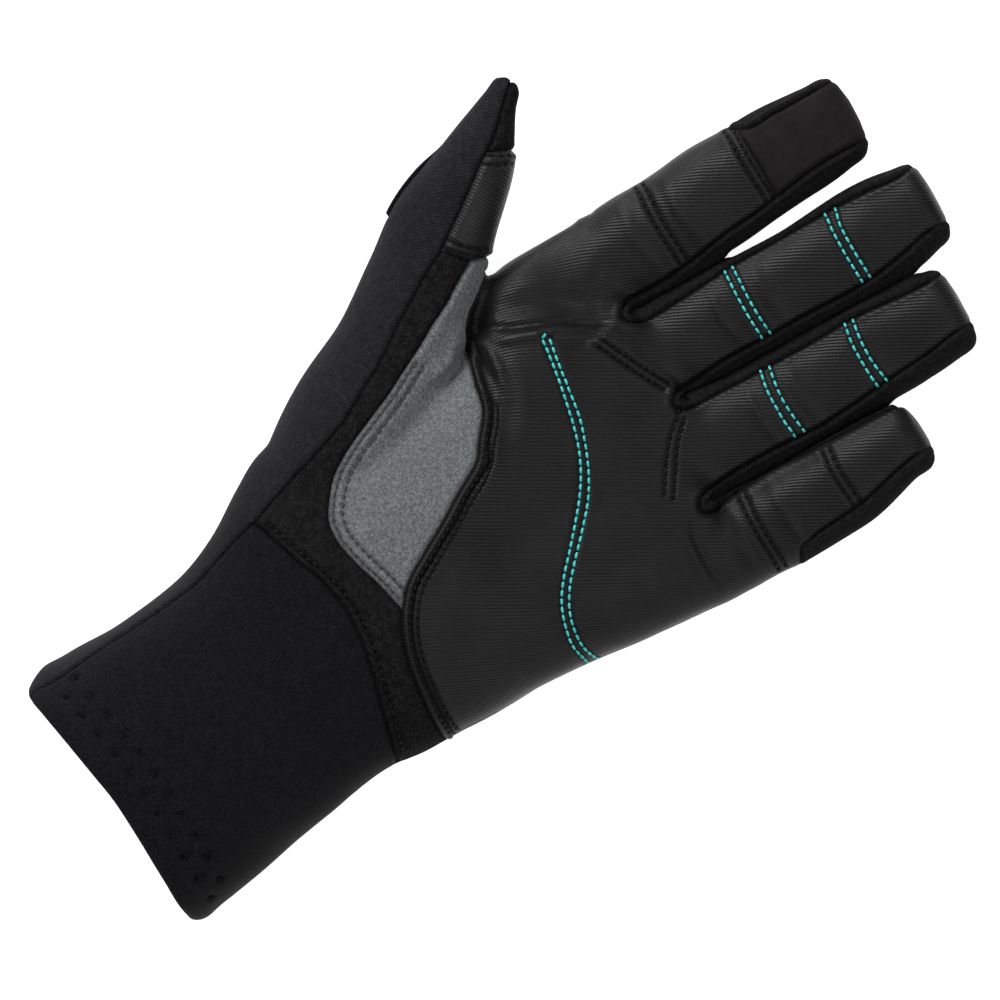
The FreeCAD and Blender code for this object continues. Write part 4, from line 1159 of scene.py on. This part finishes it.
def shell(name, rows, normal, thickness, material, start=0.0):
    """A closed panel of fabric: the chosen triangles, a copy inside them, and a rim."""
    ids, inverse = np.unique(faces[rows], return_inverse=True)
    local = inverse.reshape(-1, 3)
    n = len(ids)
    outer = place[ids] - normal[ids] * start
    inner = outer - normal[ids] * thickness
    edges = np.vstack([local[:, [0, 1]], local[:, [1, 2]], local[:, [2, 0]]])
    key = edges.min(1) * n + edges.max(1)
    _, first, count = np.unique(key, return_index=True, return_counts=True)
    rim = edges[first[count == 1]]
    a, b = rim[:, 0], rim[:, 1]
    side = np.vstack([np.column_stack([b, a, a + n]), np.column_stack([b, a + n, b + n])])
    tris = np.vstack([local, local[:, ::-1] + n, side])
    verts = np.vstack([outer, inner])
    mesh = raw_mesh(name, verts, tris)
    face = np.cross(verts[side[:, 1]] - verts[side[:, 0]], verts[side[:, 2]] - verts[side[:, 0]])
    face /= np.maximum(np.linalg.norm(face, axis=1), 1e-9)[:, None]
    loops = np.vstack([normal[ids][local].reshape(-1, 3), -normal[ids][local[:, ::-1]].reshape(-1, 3),
                       np.repeat(face, 3, axis=0)])
    mesh.normals_split_custom_set(loops.astype(np.float32))
    store_cloth(mesh, np.vstack([cloth[ids], cloth[ids]]), np.tile(shade[ids], 2))
    return link(name, mesh, material)


NAMES = {PALM: "palm", BINDING: "binding", TOUCH: "touch_tip", FLEECE: "fleece", BACK: "back",
         GUSSET: "gusset", GRIP: "grip", WIPE: "wipe", CUFF_FRONT: "front", CUFF_BACK: "rear"}
FEWEST_TRIANGLES = 12
for where in sorted(set(zone)):
    for kind, label in NAMES.items():
        rows = (zone == where) & (fabric == kind)
        if rows.sum() < FEWEST_TRIANGLES:
            continue
        name = f"{where}_{label}" if kind < CUFF_FRONT else f"cuff_{label}"
        thick = CUFF_THICKNESS if kind >= CUFF_FRONT else FABRIC_THICKNESS
        between = kind == FLEECE and where.split("_")[0] in FINGERS
        piece = shell(name, rows, fabric_normals[kind], thick, fourchette if between else MATERIAL[kind])
        place_piece(piece, where)

hem_rows = (fabric >= CUFF_FRONT) & (centres[:, 1] - mouth_y(centres[:, 0]) < FACING_DEPTH)
cuff_normals = vertex_normals(place, faces, fabric >= CUFF_FRONT)
hem = shell("cuff_hem_facing", hem_rows, cuff_normals, FACING_THICKNESS, lining_material, start=FACING_INSET)
place_piece(hem, "wrist")
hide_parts("cuff_hem")

# ---------------- stitches


THREAD_RADIUS = {TEAL: 0.37, BLACK: 0.34, GREY: 0.22}
HEM_THREAD_RADIUS = 0.3
THREAD_OUTLINE = ((0.0, 0.35), (0.08, 0.8), (0.25, 1.0), (0.5, 1.06), (0.75, 1.0), (0.92, 0.8), (1.0, 0.35))
THREAD_ARCH = 0.26


def capsule(start, end, up, radius, sides=7):
    """One stitch: a short round-ended thread that arches between its two holes."""
    along = end - start
    length = np.linalg.norm(along)
    along /= length
    across = np.cross(along, up)
    across /= np.linalg.norm(across)
    up = np.cross(across, along)
    rings = []
    angle = np.linspace(0, 2 * math.pi, sides, endpoint=False)
    for s, r in THREAD_OUTLINE:
        rise = THREAD_ARCH * math.sin(math.pi * s)
        middle = start + along * length * s + up * rise
        rings.append(middle + radius * r * (np.cos(angle)[:, None] * across + np.sin(angle)[:, None] * up))
    v, t = closed_tube(rings)
    return v, t[:, ::-1]


threads = {}
for (colour, _), plan in zip(ROWS, [drop(final_tree, points) for _, points in ROWS]):
    if len(plan) < 4:
        continue
    for a, b, up in row_stitches(plan):
        up = up / np.linalg.norm(up)
        middle = ((a + b) / 2)[None]
        where = zones(middle, np.array([PALM]))[0]
        lift = 0.05 * up
        threads.setdefault((where, colour), []).append((a + lift, b + lift, up, THREAD_RADIUS[colour]))
hem_final = drop(final_tree, dots)
half = len(hem_final) // 2
for i in range(half - 1):
    for a, b in ((hem_final[i], hem_final[half + i]), (hem_final[half + i], hem_final[i + 1])):
        up = (a[3:] + b[3:]) / np.linalg.norm(a[3:] + b[3:])
        for start, end in ((0.0, 0.22), (0.78, 1.0)):
            p, q = a[:3] * (1 - start) + b[:3] * start, a[:3] * (1 - end) + b[:3] * end
            threads.setdefault(("wrist", BLACK), []).append((p, q, up, HEM_THREAD_RADIUS))
for (where, colour), stitches in threads.items():
    verts, tris, count = [], [], 0
    for a, b, up, radius in stitches:
        v, t = capsule(a, b, up, radius)
        verts.append(v)
        tris.append(t + count)
        count += len(v)
    verts = np.vstack(verts)
    mesh = raw_mesh(f"{where}_{colour}_stitches", verts, np.vstack(tris))
    store_cloth(mesh, verts, np.ones(len(verts)))
    piece = link(mesh.name, mesh, THREAD[colour])
    place_piece(piece, where)

# ---------------- which CAD solids they stand for

STANDS = {"palm_panel": "hand_palm", "palm_binding": "hand_binding", "thumb_gusset": "hand_gusset",
          "heel_strip": "wrist_fleece", "back_panel": "hand_back", "wrist_band": "wrist_back",
          "cuff_palm_panel": "cuff_front", "cuff_back_panel": "cuff_rear",
          "palm_stitching": "hand_teal_stitches", "index_touch_tip": "index_c_touch_tip",
          "thumb_grip_patch": "thumb_b_grip", "thumb_wipe_patch": "thumb_b_wipe"}
PARTS = {"lower": "a", "middle": "b", "tip": "c"}
for node in frame["nodes"]:
    words = node.split("_")
    if words[0] in FINGERS and node not in STANDS:
        kind = {"palm": "palm", "back": "back", "side": "fleece"}[words[2]]
        STANDS[node] = f"{words[0]}_{PARTS[words[1]]}_{kind}"
    elif words[0] == "thumb" and node not in STANDS:
        part = {"lower": "a", "tip": "b"}[words[1]]
        kind = {"palm": "grip", "back": "back", "side": "fleece"}[words[2]]
        STANDS[node] = f"thumb_{part}_{kind}"
for node, name in STANDS.items():
    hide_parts(node)

# ---------------- floor, light and camera

FLOOR_HALF, FLOOR_HEIGHT = 3000.0, -0.4
corners = [(x * FLOOR_HALF, y * FLOOR_HALF, FLOOR_HEIGHT) for x, y in ((-1, -1), (1, -1), (1, 1), (-1, 1))]
floor_material, _, floor_shader = new_material("floor")
floor_shader["Base Color"].default_value = (0.5, 0.5, 0.5, 1)
floor_shader["Emission Color"].default_value = (1, 1, 1, 1)
floor_shader["Emission Strength"].default_value = 0.9
floor_shader["Roughness"].default_value = 0.9
floor = link("floor", raw_mesh("floor", corners, [(0, 1, 2), (0, 2, 3)]), floor_material)

# The camera looks straight down, turned so that the fingers point up and to the right.
RIGHT = np.array([0.5, 0.8660254, 0.0])
UP = np.array([-0.8660254, 0.5, 0.0])
VIEW_CENTRE = np.array([-7.95, -13.77, 18.0])
VIEW_WIDTH = 265.0
LENS, SENSOR = 300.0, 36.0


def look(obj, position, target, up=UP):
    back = (position - target) / np.linalg.norm(position - target)
    side = np.cross(up, back)
    side /= np.linalg.norm(side)
    top = np.cross(back, side)
    matrix = np.eye(4)
    matrix[:3, 0], matrix[:3, 1], matrix[:3, 2], matrix[:3, 3] = side, top, back, position * MM
    obj.matrix_world = Matrix(matrix.tolist())


camera_data = bpy.data.cameras.new("camera")
camera_data.lens, camera_data.sensor_width = LENS, SENSOR
camera_data.clip_end = 50
camera = bpy.data.objects.new("camera", camera_data)
bpy.context.scene.collection.objects.link(camera)
distance = VIEW_WIDTH * LENS / SENSOR
look(camera, VIEW_CENTRE + np.array([0, 0, distance]), VIEW_CENTRE)
bpy.context.scene.camera = camera


def area_light(name, direction, away, size, power):
    data = bpy.data.lights.new(name, "AREA")
    data.shape, data.size, data.energy = "DISK", size, power
    lamp = bpy.data.objects.new(name, data)
    bpy.context.scene.collection.objects.link(lamp)
    direction = np.array(direction, float)
    look(lamp, VIEW_CENTRE + direction / np.linalg.norm(direction) * away, VIEW_CENTRE, UP + 0.01 * RIGHT)


area_light("key", UP * 0.9 - RIGHT * 0.5 + np.array([0, 0, 0.7]), 1100, 0.6, 13)
area_light("fill", -UP * 0.7 + RIGHT * 0.8 + np.array([0, 0, 1.1]), 1200, 0.9, 4)
area_light("top", np.array([0, 0, 1.0]), 1500, 1.4, 4)
world = bpy.data.worlds.new("studio")
bpy.context.scene.world = world
world.use_nodes = True
world.node_tree.nodes["Background"].inputs["Color"].default_value = (1, 1, 1, 1)
world.node_tree.nodes["Background"].inputs["Strength"].default_value = 0.2
bpy.context.scene.view_settings.view_transform = "Standard"
